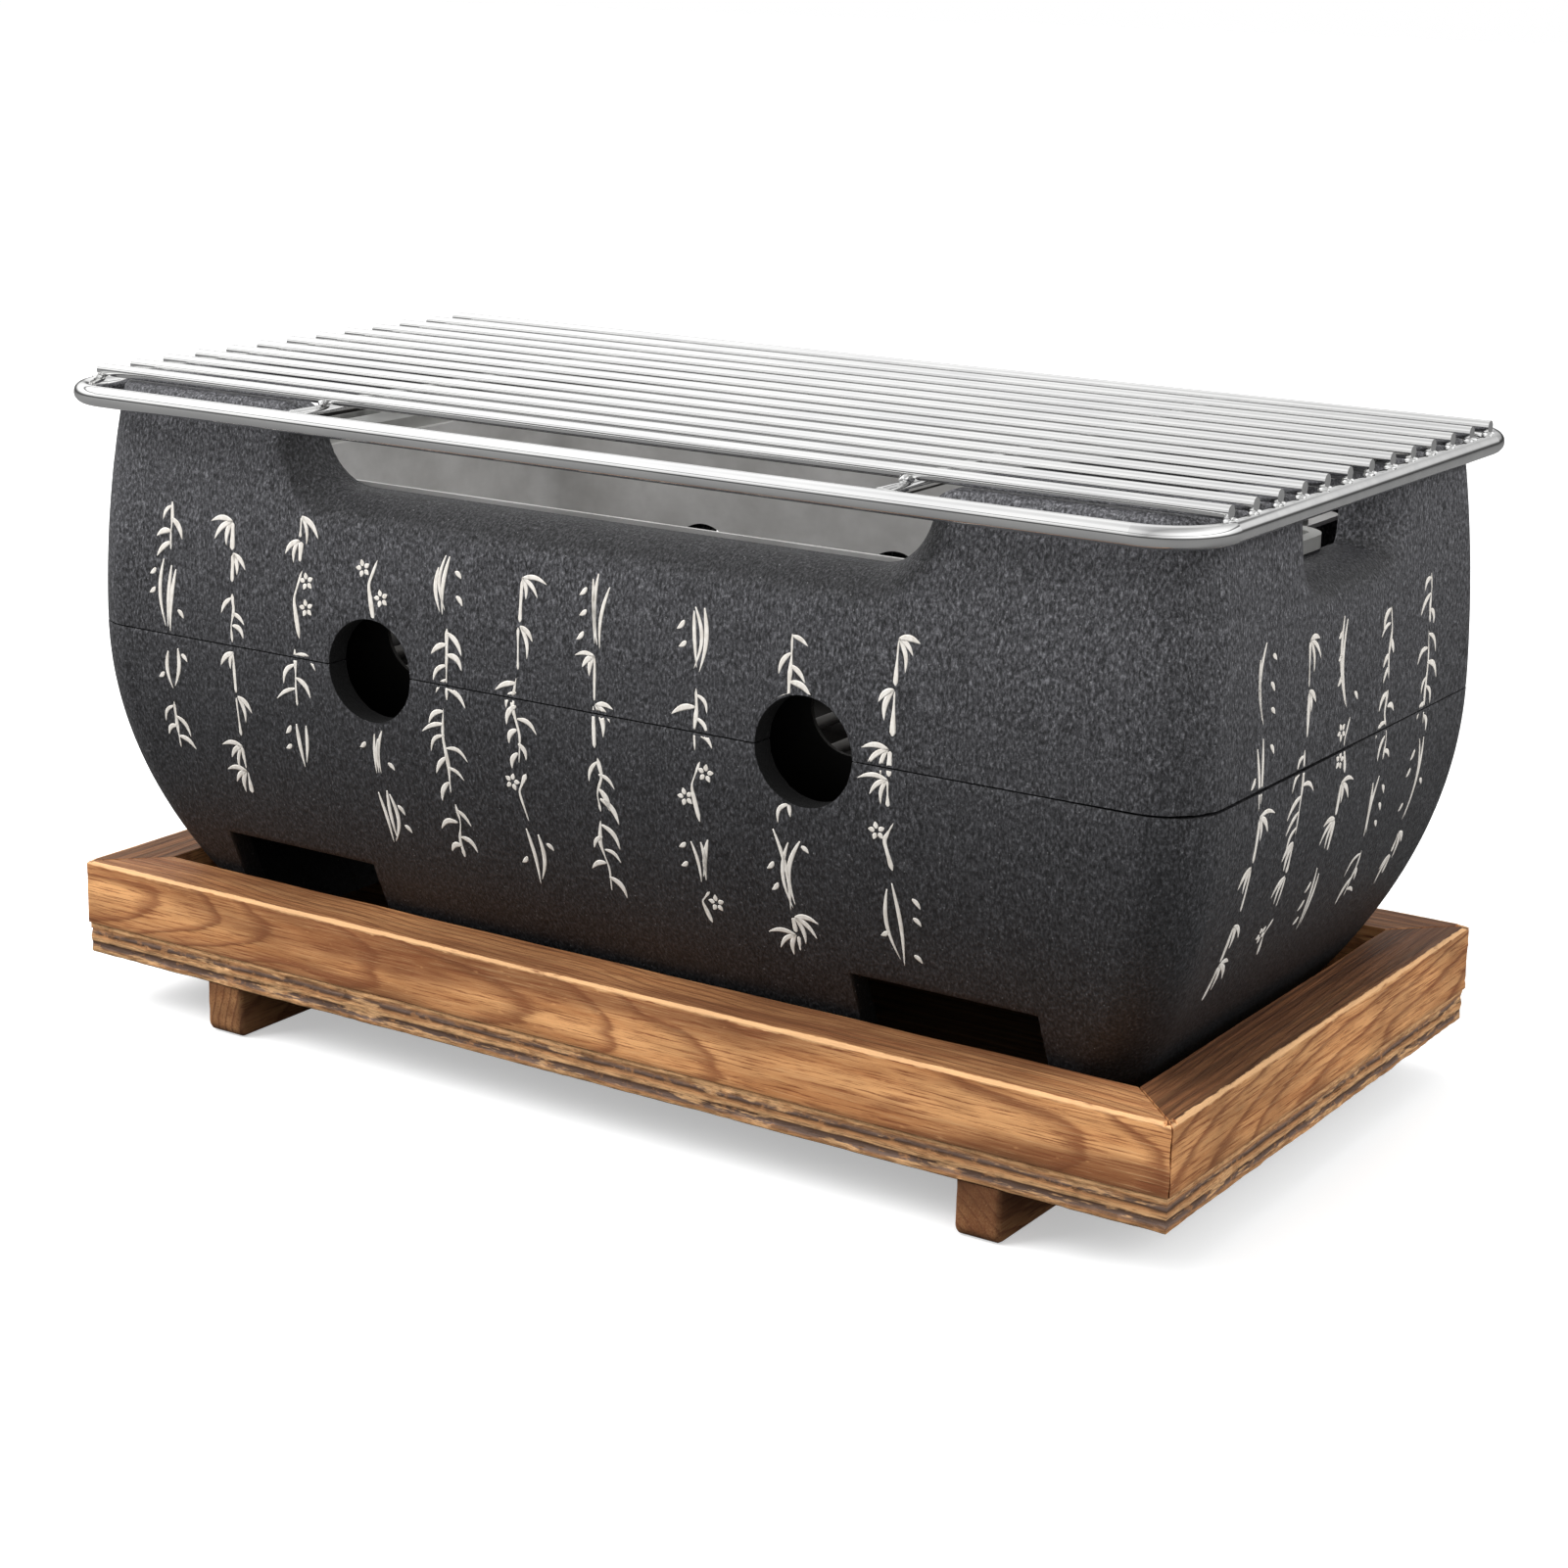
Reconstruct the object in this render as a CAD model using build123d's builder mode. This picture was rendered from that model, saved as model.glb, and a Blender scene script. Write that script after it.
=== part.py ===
"""Tabletop hibachi grill: a wooden tray, a two-piece cast firebox, a steel fuel liner with a
charcoal rack, and a wire cooking grate.

Origin: on the ground, under the middle of the tray.  +X runs along the length, -Y is the front,
+Z is up.  All sizes are in millimetres.
"""
from build123d import *
from math import sqrt
import os

os.makedirs("parts", exist_ok=True)

# ---------------------------------------------------------------- tray
tray_length = 250.0
tray_depth = 132.0
foot_height = 10.7
foot_width = 9.2
foot_centre_x = 88.0
foot_end_inset = 1.0
foot_corner_radius = 2.2
board_thickness = 6.5
board_inset = 0.4
rail_height = 13.45
rail_width = 12.85
rail_edge_break = 0.5
nail_radius = 0.9
nail_head_radius = 2.0
nail_head_thickness = 0.6
rail_nail_x = 55.0
rail_nail_y = 35.0
rail_nail_reach = 8.0          # into the rail
foot_nail_y = 45.0
foot_nail_head_level = 3.75    # above the ground
foot_nail_reach = 5.5          # into the board

# ---------------------------------------------------------------- firebox castings
firebox_height = 112.4
half_length = 124.3
half_depth = 63.2
seam_height = 64.0             # above the firebox's base, at its widest section
end_lower_radius = 94.0
end_upper_radius = 485.0
side_lower_radius = 117.0
side_upper_radius = 238.0
corner_radius = 10.8
corner_taper = 0.8             # how much of an inset comes off the corner radius
wall = 5.0
opening_half_length = 112.2
opening_half_depth = 50.8
opening_corner_radius = 6.0
rim_band_height = 16.8
floor_bottom = 25.0
floor_thickness = 4.0
vent_radius = 10.0
vent_centre_x = 49.2
cutout_centre_x = 74.5
cutout_width = 38.0
cutout_height = 22.5
notch_floor = 97.0
side_notch_half_width = 69.0
side_notch_corner_radius = 11.5
end_notch_half_width = 13.5
end_notch_lip = 1.5
notch_overcut = 20.0           # how far the notch tools stand above the rim
notch_shoulder_radius = 5.0
notch_roll_radius = 5.0
rim_edge_radius = 1.2
boss_radius = 5.0
boss_x = 103.5
boss_y = 43.0
boss_web_length = 21.0
boss_web_thickness = 4.0
boss_top = 84.0
screw_radius = 2.0
screw_length = 32.0
screw_head_radius = 3.8
screw_head_height = 2.8
socket_size = 2.6
socket_depth = 1.5

# ---------------------------------------------------------------- fuel liner
liner_half_length = 94.8
liner_half_depth = 50.2
liner_bottom_half_length = 89.5
liner_bottom_half_depth = 46.0
liner_bottom = 36.0
liner_top = 97.5
liner_sheet = 0.8
liner_corner_radius = 8.0
liner_foot_radius = 6.0
liner_hole_radius = 8.0
liner_hole_height = 68.0
liner_flange_reach = 8.5
liner_flange_half_depth = 40.0
liner_flange_corner_radius = 4.0
tab_root_half_depth = 24.0
tab_root_offset = 0.6
tab_root_reach = 7.5
tab_half_width = 10.5
tab_reach = 114.0
tab_thickness = 2.5
tab_corner_radius = 7.5
tab_slot_half_width = 6.5
tab_slot_length = 7.5
tab_slot_radius = 2.0
tab_end_strip = 2.6
peg_radius = 2.0
peg_height = 6.2
peg_x = 99.0
peg_y = 16.5
peg_tail = 1.0
peg_tail_radius = 3.2
peg_edge_break = 0.4

# ---------------------------------------------------------------- charcoal rack
rack_wire = 3.0
rack_bar_wire = 2.4
rack_half_length = 84.0
rack_half_depth = 40.0
rack_corner_radius = 8.0
rack_height = 54.0
rack_bar_count = 13
rack_leg_x = 60.0
rack_leg_bend = 5.0
rack_end_margin = 8.0          # from the rack's edges to its outer bars and its legs

# ---------------------------------------------------------------- cooking grate
grate_length = 253.2
grate_depth = 139.0
frame_wire = 4.0
frame_corner_radius = 11.5
bar_wire = 2.5
bar_count = 13
bar_pitch = 9.333
bar_length = 249.0
cross_wire_x = 65.0
bar_clearance = 0.3             # between the bars and the firebox rim

# ---------------------------------------------------------------- levels above the ground
board_bottom = foot_height
firebox_base = foot_height + board_thickness
firebox_rim = firebox_base + firebox_height
seam_level = firebox_base + seam_height
liner_rim = firebox_base + liner_top
bar_level = firebox_rim + bar_clearance + bar_wire / 2
frame_level = bar_level - bar_wire / 2 - frame_wire / 2
cross_wire_level = bar_level - bar_wire
rack_level = firebox_base + rack_height


def arc_drop(radius, rise):
    """How far an arc of this radius has moved in, this far above or below its widest point."""
    return radius - sqrt(radius**2 - rise**2)


def save(piece, label):
    """Label a finished piece and write it as one STEP file."""
    piece.label = label
    export_step(piece, f"parts/{label}.step")


# ================================================================= tray
def nail(head_level, tip_level):
    """A round nail driven upwards, its flat head at the bottom."""
    with BuildPart() as one_nail:
        with BuildSketch(Plane.XY.offset(head_level)):
            Circle(nail_radius)
        extrude(amount=tip_level - head_level)
        with BuildSketch(Plane.XY.offset(head_level)):
            Circle(nail_head_radius)
        extrude(amount=nail_head_thickness)
    return one_nail.part


long_rail_y = tray_depth / 2 - rail_width / 2
end_rail_x = tray_length / 2 - rail_width / 2
rail_nail_spots = [(x, y) for x in (-rail_nail_x, rail_nail_x) for y in (-long_rail_y, long_rail_y)]
rail_nail_spots += [(x, y) for x in (-end_rail_x, end_rail_x) for y in (-rail_nail_y, rail_nail_y)]
rail_nail = nail(board_bottom, firebox_base + rail_nail_reach)
with BuildPart() as tray_rail_nails:
    with Locations(*rail_nail_spots):
        add(rail_nail)
save(tray_rail_nails.part, "tray_rail_nails")

foot_nail_spots = [(x, y) for x in (-foot_centre_x, foot_centre_x) for y in (-foot_nail_y, foot_nail_y)]
foot_nail = nail(foot_nail_head_level, board_bottom + foot_nail_reach)
with BuildPart() as tray_foot_nails:
    with Locations(*foot_nail_spots):
        add(foot_nail)
save(tray_foot_nails.part, "tray_foot_nails")

with BuildPart() as tray_board:
    with BuildSketch(Plane.XY.offset(board_bottom)):
        Rectangle(tray_length - 2 * board_inset, tray_depth - 2 * board_inset)
    extrude(amount=board_thickness)
    add(tray_rail_nails.part, mode=Mode.SUBTRACT)
    add(tray_foot_nails.part, mode=Mode.SUBTRACT)
save(tray_board.part, "tray_board")


def mitred_rail(length, plane):
    """A rail on top of the board, mitred at both ends, its outer face along the plane's X axis."""
    with BuildPart() as rail:
        with BuildSketch(plane):
            with BuildLine():
                Polyline(
                    (-length / 2, 0),
                    (length / 2, 0),
                    (length / 2 - rail_width, rail_width),
                    (-length / 2 + rail_width, rail_width),
                    close=True,
                )
            make_face()
        extrude(amount=rail_height)
        top_edges = rail.faces().sort_by(Axis.Z)[-1].edges()
        chamfer(top_edges.sort_by(SortBy.LENGTH)[-2:], rail_edge_break)
        add(tray_rail_nails.part, mode=Mode.SUBTRACT)
    return rail.part


rail_planes = {
    "front": Plane((0, -tray_depth / 2, firebox_base)),
    "back": Plane((0, tray_depth / 2, firebox_base), x_dir=(-1, 0, 0)),
    "left": Plane((-tray_length / 2, 0, firebox_base), x_dir=(0, -1, 0)),
    "right": Plane((tray_length / 2, 0, firebox_base), x_dir=(0, 1, 0)),
}
for side, rail_plane in rail_planes.items():
    rail_length = tray_length if side in ("front", "back") else tray_depth
    save(mitred_rail(rail_length, rail_plane), f"tray_rail_{side}")


def foot(centre_x):
    """A batten across the depth, its lower end corners rounded, bored up to its nail heads."""
    with BuildPart() as batten:
        with BuildSketch(Plane.YZ.offset(centre_x - foot_width / 2)):
            with Locations((0, foot_height / 2)):
                Rectangle(tray_depth - 2 * foot_end_inset, foot_height)
        extrude(amount=foot_width)
        bottom_edges = batten.edges().filter_by(Axis.X).group_by(Axis.Z)[0]
        fillet(bottom_edges, foot_corner_radius)
        with BuildSketch():
            with Locations((centre_x, -foot_nail_y), (centre_x, foot_nail_y)):
                Circle(nail_head_radius)
        extrude(amount=foot_nail_head_level, mode=Mode.SUBTRACT)
        add(tray_foot_nails.part, mode=Mode.SUBTRACT)
    return batten.part


save(foot(-foot_centre_x), "tray_foot_left")
save(foot(foot_centre_x), "tray_foot_right")


# ================================================================= firebox
def barrel_outline(half_width, lower_radius, upper_radius):
    """Draw a closed outline, widest at the seam height, that curves in above and below it."""
    foot_half = half_width - arc_drop(lower_radius, seam_height)
    rim_half = half_width - arc_drop(upper_radius, firebox_height - seam_height)
    seam_v = firebox_base + seam_height
    with BuildLine() as outline:
        Line((-foot_half, firebox_base), (foot_half, firebox_base))
        RadiusArc((foot_half, firebox_base), (half_width, seam_v), -lower_radius)
        RadiusArc((half_width, seam_v), (rim_half, firebox_rim), -upper_radius)
        Line((rim_half, firebox_rim), (-rim_half, firebox_rim))
        RadiusArc((-rim_half, firebox_rim), (-half_width, seam_v), -upper_radius)
        RadiusArc((-half_width, seam_v), (-foot_half, firebox_base), -lower_radius)
    return outline.line


def barrel(inset):
    """The firebox's solid outer form, or the same form pulled in by inset, with round corners."""
    with BuildPart() as form:
        with BuildSketch(Plane.XZ):
            add(barrel_outline(half_length - inset, end_lower_radius, end_upper_radius))
            make_face()
        extrude(amount=half_depth + wall, both=True)
        with BuildSketch(Plane.YZ):
            add(barrel_outline(half_depth - inset, side_lower_radius, side_upper_radius))
            make_face()
        extrude(amount=half_length + wall, both=True, mode=Mode.INTERSECT)
        upright_edges = form.edges().filter_by(
            lambda edge: abs(edge.position_at(0).Z - edge.position_at(1).Z) > wall
        )
        fillet(upright_edges, corner_radius - inset * corner_taper)
    return form.part


def upright_box(half_x, half_y, low, high, radius):
    """An upright prism on a rounded rectangle, centred on the origin."""
    with BuildPart() as prism:
        with BuildSketch(Plane.XY.offset(low)):
            RectangleRounded(2 * half_x, 2 * half_y, radius)
        extrude(amount=high - low)
    return prism.part


floor_top_level = firebox_base + floor_bottom + floor_thickness
band_level = firebox_rim - rim_band_height
boss_spots = [(x, y) for x in (-boss_x, boss_x) for y in (-boss_y, boss_y)]
notch_level = firebox_base + notch_floor
notch_top = firebox_rim + notch_overcut

outer_form = barrel(0)
inner_form = barrel(wall)

with BuildPart() as firebox_cavity:
    add(inner_form)
    with BuildSketch(Plane.XY.offset(floor_top_level)):
        Rectangle(3 * half_length, 3 * half_depth)
    extrude(amount=band_level - floor_top_level, mode=Mode.INTERSECT)

with BuildPart() as firebox_underside:
    add(inner_form)
    with BuildSketch(Plane.XY.offset(firebox_base)):
        Rectangle(3 * half_length, 3 * half_depth)
    extrude(amount=floor_bottom, mode=Mode.INTERSECT)

with BuildPart() as side_notch:
    with BuildSketch(Plane.XZ):
        with BuildLine():
            Polyline(
                (-side_notch_half_width, notch_level),
                (side_notch_half_width, notch_level),
                (side_notch_half_width, notch_top),
                (-side_notch_half_width, notch_top),
                close=True,
            )
        make_face()
    extrude(amount=half_depth + wall, both=True)
    notch_bottom_edges = side_notch.edges().filter_by(Axis.Y).group_by(Axis.Z)[0]
    fillet(notch_bottom_edges, side_notch_corner_radius)

with BuildPart() as end_notch:
    with BuildSketch(Plane.YZ):
        with BuildLine():
            Polyline(
                (-end_notch_half_width, notch_level),
                (end_notch_half_width, notch_level),
                (end_notch_half_width + end_notch_lip, notch_top),
                (-end_notch_half_width - end_notch_lip, notch_top),
                close=True,
            )
        make_face()
    extrude(amount=half_length + wall, both=True)

with BuildPart() as vents:
    with BuildSketch(Plane.XZ):
        with Locations((-vent_centre_x, seam_level), (vent_centre_x, seam_level)):
            Circle(vent_radius)
    extrude(amount=half_depth + wall, both=True)

with BuildPart() as base_cutouts:
    with BuildSketch(Plane.XZ):
        with Locations((-cutout_centre_x, firebox_base), (cutout_centre_x, firebox_base)):
            Rectangle(cutout_width, cutout_height, align=(Align.CENTER, Align.MIN))
    extrude(amount=half_depth + wall, both=True)

with BuildPart() as firebox_shell:
    add(outer_form)
    add(firebox_cavity.part, mode=Mode.SUBTRACT)
    add(firebox_underside.part, mode=Mode.SUBTRACT)
    add(
        upright_box(opening_half_length, opening_half_depth, band_level, notch_top, opening_corner_radius),
        mode=Mode.SUBTRACT,
    )
    add(side_notch.part, mode=Mode.SUBTRACT)
    add(end_notch.part, mode=Mode.SUBTRACT)
    add(vents.part, mode=Mode.SUBTRACT)
    add(base_cutouts.part, mode=Mode.SUBTRACT)


def reach(edge, axis_name):
    """How far the middle of an edge lies from the origin along one axis."""
    return abs(getattr(edge.position_at(0.5), axis_name))


def below_rim(edge):
    """True for an edge whose middle lies between the notch floors and the rim."""
    return notch_level - 1 < edge.position_at(0.5).Z < firebox_rim - 0.05


# The rolled edges of the notches and the rim, filleted one group after another.
with BuildPart() as firebox_rounded:
    add(firebox_shell.part)
    shoulders = firebox_rounded.edges().group_by(Axis.Z)[-1].filter_by(
        lambda edge: abs(reach(edge, "X") - side_notch_half_width) < 0.05
    )
    fillet(shoulders, notch_shoulder_radius)
    side_rolls = firebox_rounded.edges().filter_by(
        lambda edge: below_rim(edge)
        and reach(edge, "Y") > half_depth - 6
        and reach(edge, "X") < side_notch_half_width + notch_shoulder_radius + 2
    )
    fillet(side_rolls, notch_roll_radius)
    end_rolls = firebox_rounded.edges().filter_by(
        lambda edge: below_rim(edge)
        and reach(edge, "X") > half_length - 3
        and reach(edge, "Y") < end_notch_half_width + 3
    )
    fillet(end_rolls, notch_roll_radius)
    fillet(firebox_rounded.edges().group_by(Axis.Z)[-1], rim_edge_radius)

# Screws go down through the upper casting's bosses into the lower casting's.
with BuildPart() as firebox_screws:
    with BuildSketch(Plane.XY.offset(firebox_base + boss_top - screw_length)):
        with Locations(*boss_spots):
            Circle(screw_radius)
    extrude(amount=screw_length)
    with BuildSketch(Plane.XY.offset(firebox_base + boss_top)):
        with Locations(*boss_spots):
            Circle(screw_head_radius)
    extrude(amount=screw_head_height)
    with BuildSketch(Plane.XY.offset(firebox_base + boss_top + screw_head_height)):
        with Locations(*boss_spots):
            RegularPolygon(socket_size, 6)
    extrude(amount=-socket_depth, mode=Mode.SUBTRACT)
save(firebox_screws.part, "firebox_screws")

with BuildPart() as firebox_bosses:
    with BuildSketch(Plane.XY.offset(floor_top_level)):
        with Locations((boss_x, boss_y)):
            Circle(boss_radius)
        with Locations(Location((boss_x, boss_y), 45)):
            Rectangle(boss_web_length, boss_web_thickness, align=(Align.MIN, Align.CENTER))
        mirror(about=Plane.XZ)
        mirror(about=Plane.YZ)
    extrude(amount=firebox_base + boss_top - floor_top_level)
    add(outer_form, mode=Mode.INTERSECT)

with BuildPart() as firebox_whole:
    add(firebox_rounded.part)
    add(firebox_bosses.part)
    add(firebox_screws.part, mode=Mode.SUBTRACT)

seam_plane = Plane.XY.offset(seam_level)
with BuildPart() as firebox_upper:
    add(firebox_whole.part)
    split(bisect_by=seam_plane, keep=Keep.TOP)
save(firebox_upper.part, "firebox_upper")

with BuildPart() as firebox_lower:
    add(firebox_whole.part)
    split(bisect_by=seam_plane, keep=Keep.BOTTOM)
save(firebox_lower.part, "firebox_lower")


# ================================================================= fuel liner
def trough_form(inset):
    """The liner's tapered form, pulled in by inset on every face but the open top."""
    low = firebox_base + liner_bottom + inset
    with BuildPart() as form:
        with BuildSketch(Plane.XY.offset(low)):
            RectangleRounded(
                2 * (liner_bottom_half_length - inset),
                2 * (liner_bottom_half_depth - inset),
                liner_corner_radius - inset,
            )
        with BuildSketch(Plane.XY.offset(liner_rim)):
            RectangleRounded(
                2 * (liner_half_length - inset),
                2 * (liner_half_depth - inset),
                liner_corner_radius - inset,
            )
        loft()
        fillet(form.edges().group_by(Axis.Z)[0], liner_foot_radius - inset)
    return form.part


peg_spots = [(x, y) for x in (-peg_x, peg_x) for y in (-peg_y, peg_y)]
flange_level = liner_rim - liner_sheet
tab_top = liner_rim + tab_thickness

# Riveted pegs through the end flanges: a wide tail below, a straight shank standing up.
with BuildPart() as liner_pegs:
    with BuildSketch(Plane.XY.offset(flange_level - peg_tail)):
        with Locations(*peg_spots):
            Circle(peg_tail_radius)
    extrude(amount=peg_tail)
    with BuildSketch(Plane.XY.offset(flange_level)):
        with Locations(*peg_spots):
            Circle(peg_radius)
    extrude(amount=tab_top + peg_height - flange_level)
    chamfer(liner_pegs.edges().group_by(Axis.Z)[-1], peg_edge_break)
save(liner_pegs.part, "liner_pegs")

with BuildPart() as liner_trough:
    add(trough_form(0))
    with BuildSketch(Plane.XY.offset(flange_level)):
        flange_half_length = liner_half_length + liner_flange_reach
        Rectangle(2 * flange_half_length, 2 * liner_flange_half_depth)
    extrude(amount=liner_sheet)
    flange_corners = liner_trough.edges().filter_by(Axis.Z).group_by(SortBy.LENGTH)[0]
    outer_corners = flange_corners.filter_by(lambda edge: reach(edge, "X") > liner_half_length + 1)
    fillet(outer_corners, liner_flange_corner_radius)
    add(trough_form(liner_sheet), mode=Mode.SUBTRACT)
    with BuildSketch(Plane.XZ):
        with Locations((0, firebox_base + liner_hole_height)):
            with GridLocations(vent_centre_x, 1, 3, 1):
                Circle(liner_hole_radius)
    extrude(amount=half_depth, both=True, mode=Mode.SUBTRACT)
    add(liner_pegs.part, mode=Mode.SUBTRACT)
save(liner_trough.part, "liner_trough")


def liner_tab(label, plane):
    """A thick T-shaped plate on the end flange, its slotted tongue reaching out along plane X."""
    root_start = liner_half_length + tab_root_offset
    with BuildPart() as tab:
        with BuildSketch(plane):
            with Locations((root_start, 0)):
                Rectangle(tab_root_reach, 2 * tab_root_half_depth, align=(Align.MIN, Align.CENTER))
                Rectangle(tab_reach - root_start, 2 * tab_half_width, align=(Align.MIN, Align.CENTER))
        extrude(amount=tab_thickness)
        tongue_corners = tab.edges().filter_by(Axis.Z).filter_by(
            lambda edge: reach(edge, "X") > tab_reach - 0.1
        )
        fillet(tongue_corners, tab_corner_radius)
        with BuildSketch(plane):
            with Locations((tab_reach - tab_end_strip, 0)):
                Rectangle(tab_slot_length, 2 * tab_slot_half_width, align=(Align.MAX, Align.CENTER))
        extrude(amount=tab_thickness, mode=Mode.SUBTRACT)
        slot_corners = tab.edges().filter_by(Axis.Z).filter_by(
            lambda edge: abs(reach(edge, "Y") - tab_slot_half_width) < 0.01
        )
        fillet(slot_corners, tab_slot_radius)
        add(liner_pegs.part, mode=Mode.SUBTRACT)
    save(tab.part, label)


liner_tab("liner_tab_right", Plane.XY.offset(liner_rim))
liner_tab("liner_tab_left", Plane((0, 0, liner_rim), x_dir=(-1, 0, 0)))


# ================================================================= charcoal rack
def wire_ring(half_x, half_y, bend_radius, level, wire):
    """A closed ring of round wire bent to a rounded rectangle, its centre line at half_x, half_y."""
    with BuildPart() as ring:
        with BuildLine(Plane.XY.offset(level)) as half_line:
            FilletPolyline(
                (0, -half_y),
                (half_x, -half_y),
                (half_x, half_y),
                (0, half_y),
                radius=bend_radius,
            )
        with BuildSketch(Plane((0, -half_y, level), x_dir=(0, 1, 0), z_dir=(1, 0, 0))):
            Circle(wire / 2)
        sweep(path=half_line.line)
        mirror(about=Plane.YZ)
    return ring.part


def straight_wire(start, length, plane, wire):
    """A straight round wire from a start point, along the plane's normal."""
    with BuildPart() as rod:
        with BuildSketch(Plane(start, x_dir=plane.x_dir, z_dir=plane.z_dir)):
            Circle(wire / 2)
        extrude(amount=length)
    return rod.part


rack_ring_x = rack_half_length - rack_wire / 2
rack_ring_y = rack_half_depth - rack_wire / 2
rack_bar_level = rack_level + rack_wire / 2 + rack_bar_wire / 2
rack_leg_level = rack_level - rack_wire / 2 - rack_bar_wire / 2
save(
    wire_ring(rack_ring_x, rack_ring_y, rack_corner_radius, rack_level, rack_wire),
    "charcoal_rack_frame",
)

rack_bar_start = (0, -rack_half_depth, rack_bar_level)
rack_bar = straight_wire(rack_bar_start, 2 * rack_half_depth, -Plane.XZ, rack_bar_wire)
with BuildPart() as charcoal_rack_bars:
    rack_bar_pitch = 2 * (rack_half_length - rack_end_margin) / (rack_bar_count - 1)
    with GridLocations(rack_bar_pitch, 1, rack_bar_count, 1):
        add(rack_bar)
save(charcoal_rack_bars.part, "charcoal_rack_bars")


def rack_leg(label, leg_x):
    """A staple of wire under the rack, across its depth, that stands on the liner's floor."""
    floor_level = firebox_base + liner_bottom + liner_sheet
    leg_y = rack_half_depth - rack_end_margin
    with BuildPart() as leg:
        with BuildLine(Plane.YZ.offset(leg_x)) as leg_line:
            FilletPolyline(
                (-leg_y, floor_level),
                (-leg_y, rack_leg_level),
                (leg_y, rack_leg_level),
                (leg_y, floor_level),
                radius=rack_leg_bend,
            )
        with BuildSketch(Plane((leg_x, -leg_y, floor_level))):
            Circle(rack_bar_wire / 2)
        sweep(path=leg_line.line)
    save(leg.part, label)


rack_leg("charcoal_rack_leg_left", -rack_leg_x)
rack_leg("charcoal_rack_leg_right", rack_leg_x)

# ================================================================= cooking grate
frame_half_x = (grate_length - frame_wire) / 2
frame_half_y = (grate_depth - frame_wire) / 2
save(
    wire_ring(frame_half_x, frame_half_y, frame_corner_radius, frame_level, frame_wire),
    "grate_frame",
)

cross_wire_reach = frame_half_y - frame_wire / 2
for side, wire_x in (("left", -cross_wire_x), ("right", cross_wire_x)):
    cross_start = (wire_x, -cross_wire_reach, cross_wire_level)
    cross_wire = straight_wire(cross_start, 2 * cross_wire_reach, -Plane.XZ, bar_wire)
    save(cross_wire, f"grate_cross_wire_{side}")

for index in range(bar_count):
    bar_y = (index - (bar_count - 1) / 2) * bar_pitch
    bar_start = (-bar_length / 2, bar_y, bar_level)
    save(straight_wire(bar_start, bar_length, Plane.YZ, bar_wire), f"grate_bar_{index + 1:02d}")
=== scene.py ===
"""Looks of the tabletop hibachi grill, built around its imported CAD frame.

Lengths in the shape functions are millimetres in the CAD frame; MM turns them into metres.
"""
import math

import bpy
import numpy as np
from mathutils import Matrix, Vector


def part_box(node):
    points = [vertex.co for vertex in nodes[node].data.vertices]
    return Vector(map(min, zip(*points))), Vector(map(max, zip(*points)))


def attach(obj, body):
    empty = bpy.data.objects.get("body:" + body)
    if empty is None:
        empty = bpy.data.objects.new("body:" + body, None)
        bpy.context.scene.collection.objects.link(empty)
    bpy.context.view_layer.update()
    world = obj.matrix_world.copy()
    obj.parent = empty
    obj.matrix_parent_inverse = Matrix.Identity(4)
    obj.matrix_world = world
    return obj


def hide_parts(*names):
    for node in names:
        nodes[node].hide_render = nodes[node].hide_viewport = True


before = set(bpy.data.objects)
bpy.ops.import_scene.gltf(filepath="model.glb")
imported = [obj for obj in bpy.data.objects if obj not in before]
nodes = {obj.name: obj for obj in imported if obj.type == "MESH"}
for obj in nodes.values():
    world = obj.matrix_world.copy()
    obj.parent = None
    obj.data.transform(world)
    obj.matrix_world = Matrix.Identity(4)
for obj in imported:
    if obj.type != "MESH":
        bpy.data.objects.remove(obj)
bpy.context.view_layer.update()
MM = 0.001


def box_mm(node):
    """A CAD node's lowest and highest corners, in millimetres."""
    low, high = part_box(node)
    return np.array(low) / MM, np.array(high) / MM


# ================ sizes from the frame
board_low, board_high = box_mm("tray_board")
rail_low, rail_high = box_mm("tray_rail_front")
foot_low, foot_high = box_mm("tray_foot_right")
BOARD_BOTTOM = board_low[2]
BASE = board_high[2]
BOARD_THICK = float(BASE - BOARD_BOTTOM)
RAIL_TOP = rail_high[2]
RIM = box_mm("firebox_upper")[1][2]
SEAM = box_mm("firebox_lower")[1][2]
HALF_LENGTH = box_mm("firebox_upper")[1][0]
HALF_DEPTH = box_mm("firebox_upper")[1][1]
TRAY_X = rail_high[0]
TRAY_Y = -rail_low[1]
RAIL_WIDTH = rail_high[1] - rail_low[1]
FRAME_LOW, FRAME_HIGH = box_mm("grate_frame")
BAR_TOP = box_mm("grate_bar_07")[1][2]
BAR_END = box_mm("grate_bar_07")[1][0]
BAR_COUNT, BAR_PITCH = 13, 9.333
WIRE_R, RING_R = 1.25, 2.0
CROSS_X = box_mm("grate_cross_wire_right")[0][0] + WIRE_R
RING_Z = (FRAME_LOW[2] + FRAME_HIGH[2]) / 2
RING_Y = FRAME_HIGH[1] - RING_R
LINER_RIM = box_mm("liner_trough")[1][2]
LINER_FLOOR = box_mm("liner_trough")[0][2]

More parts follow.
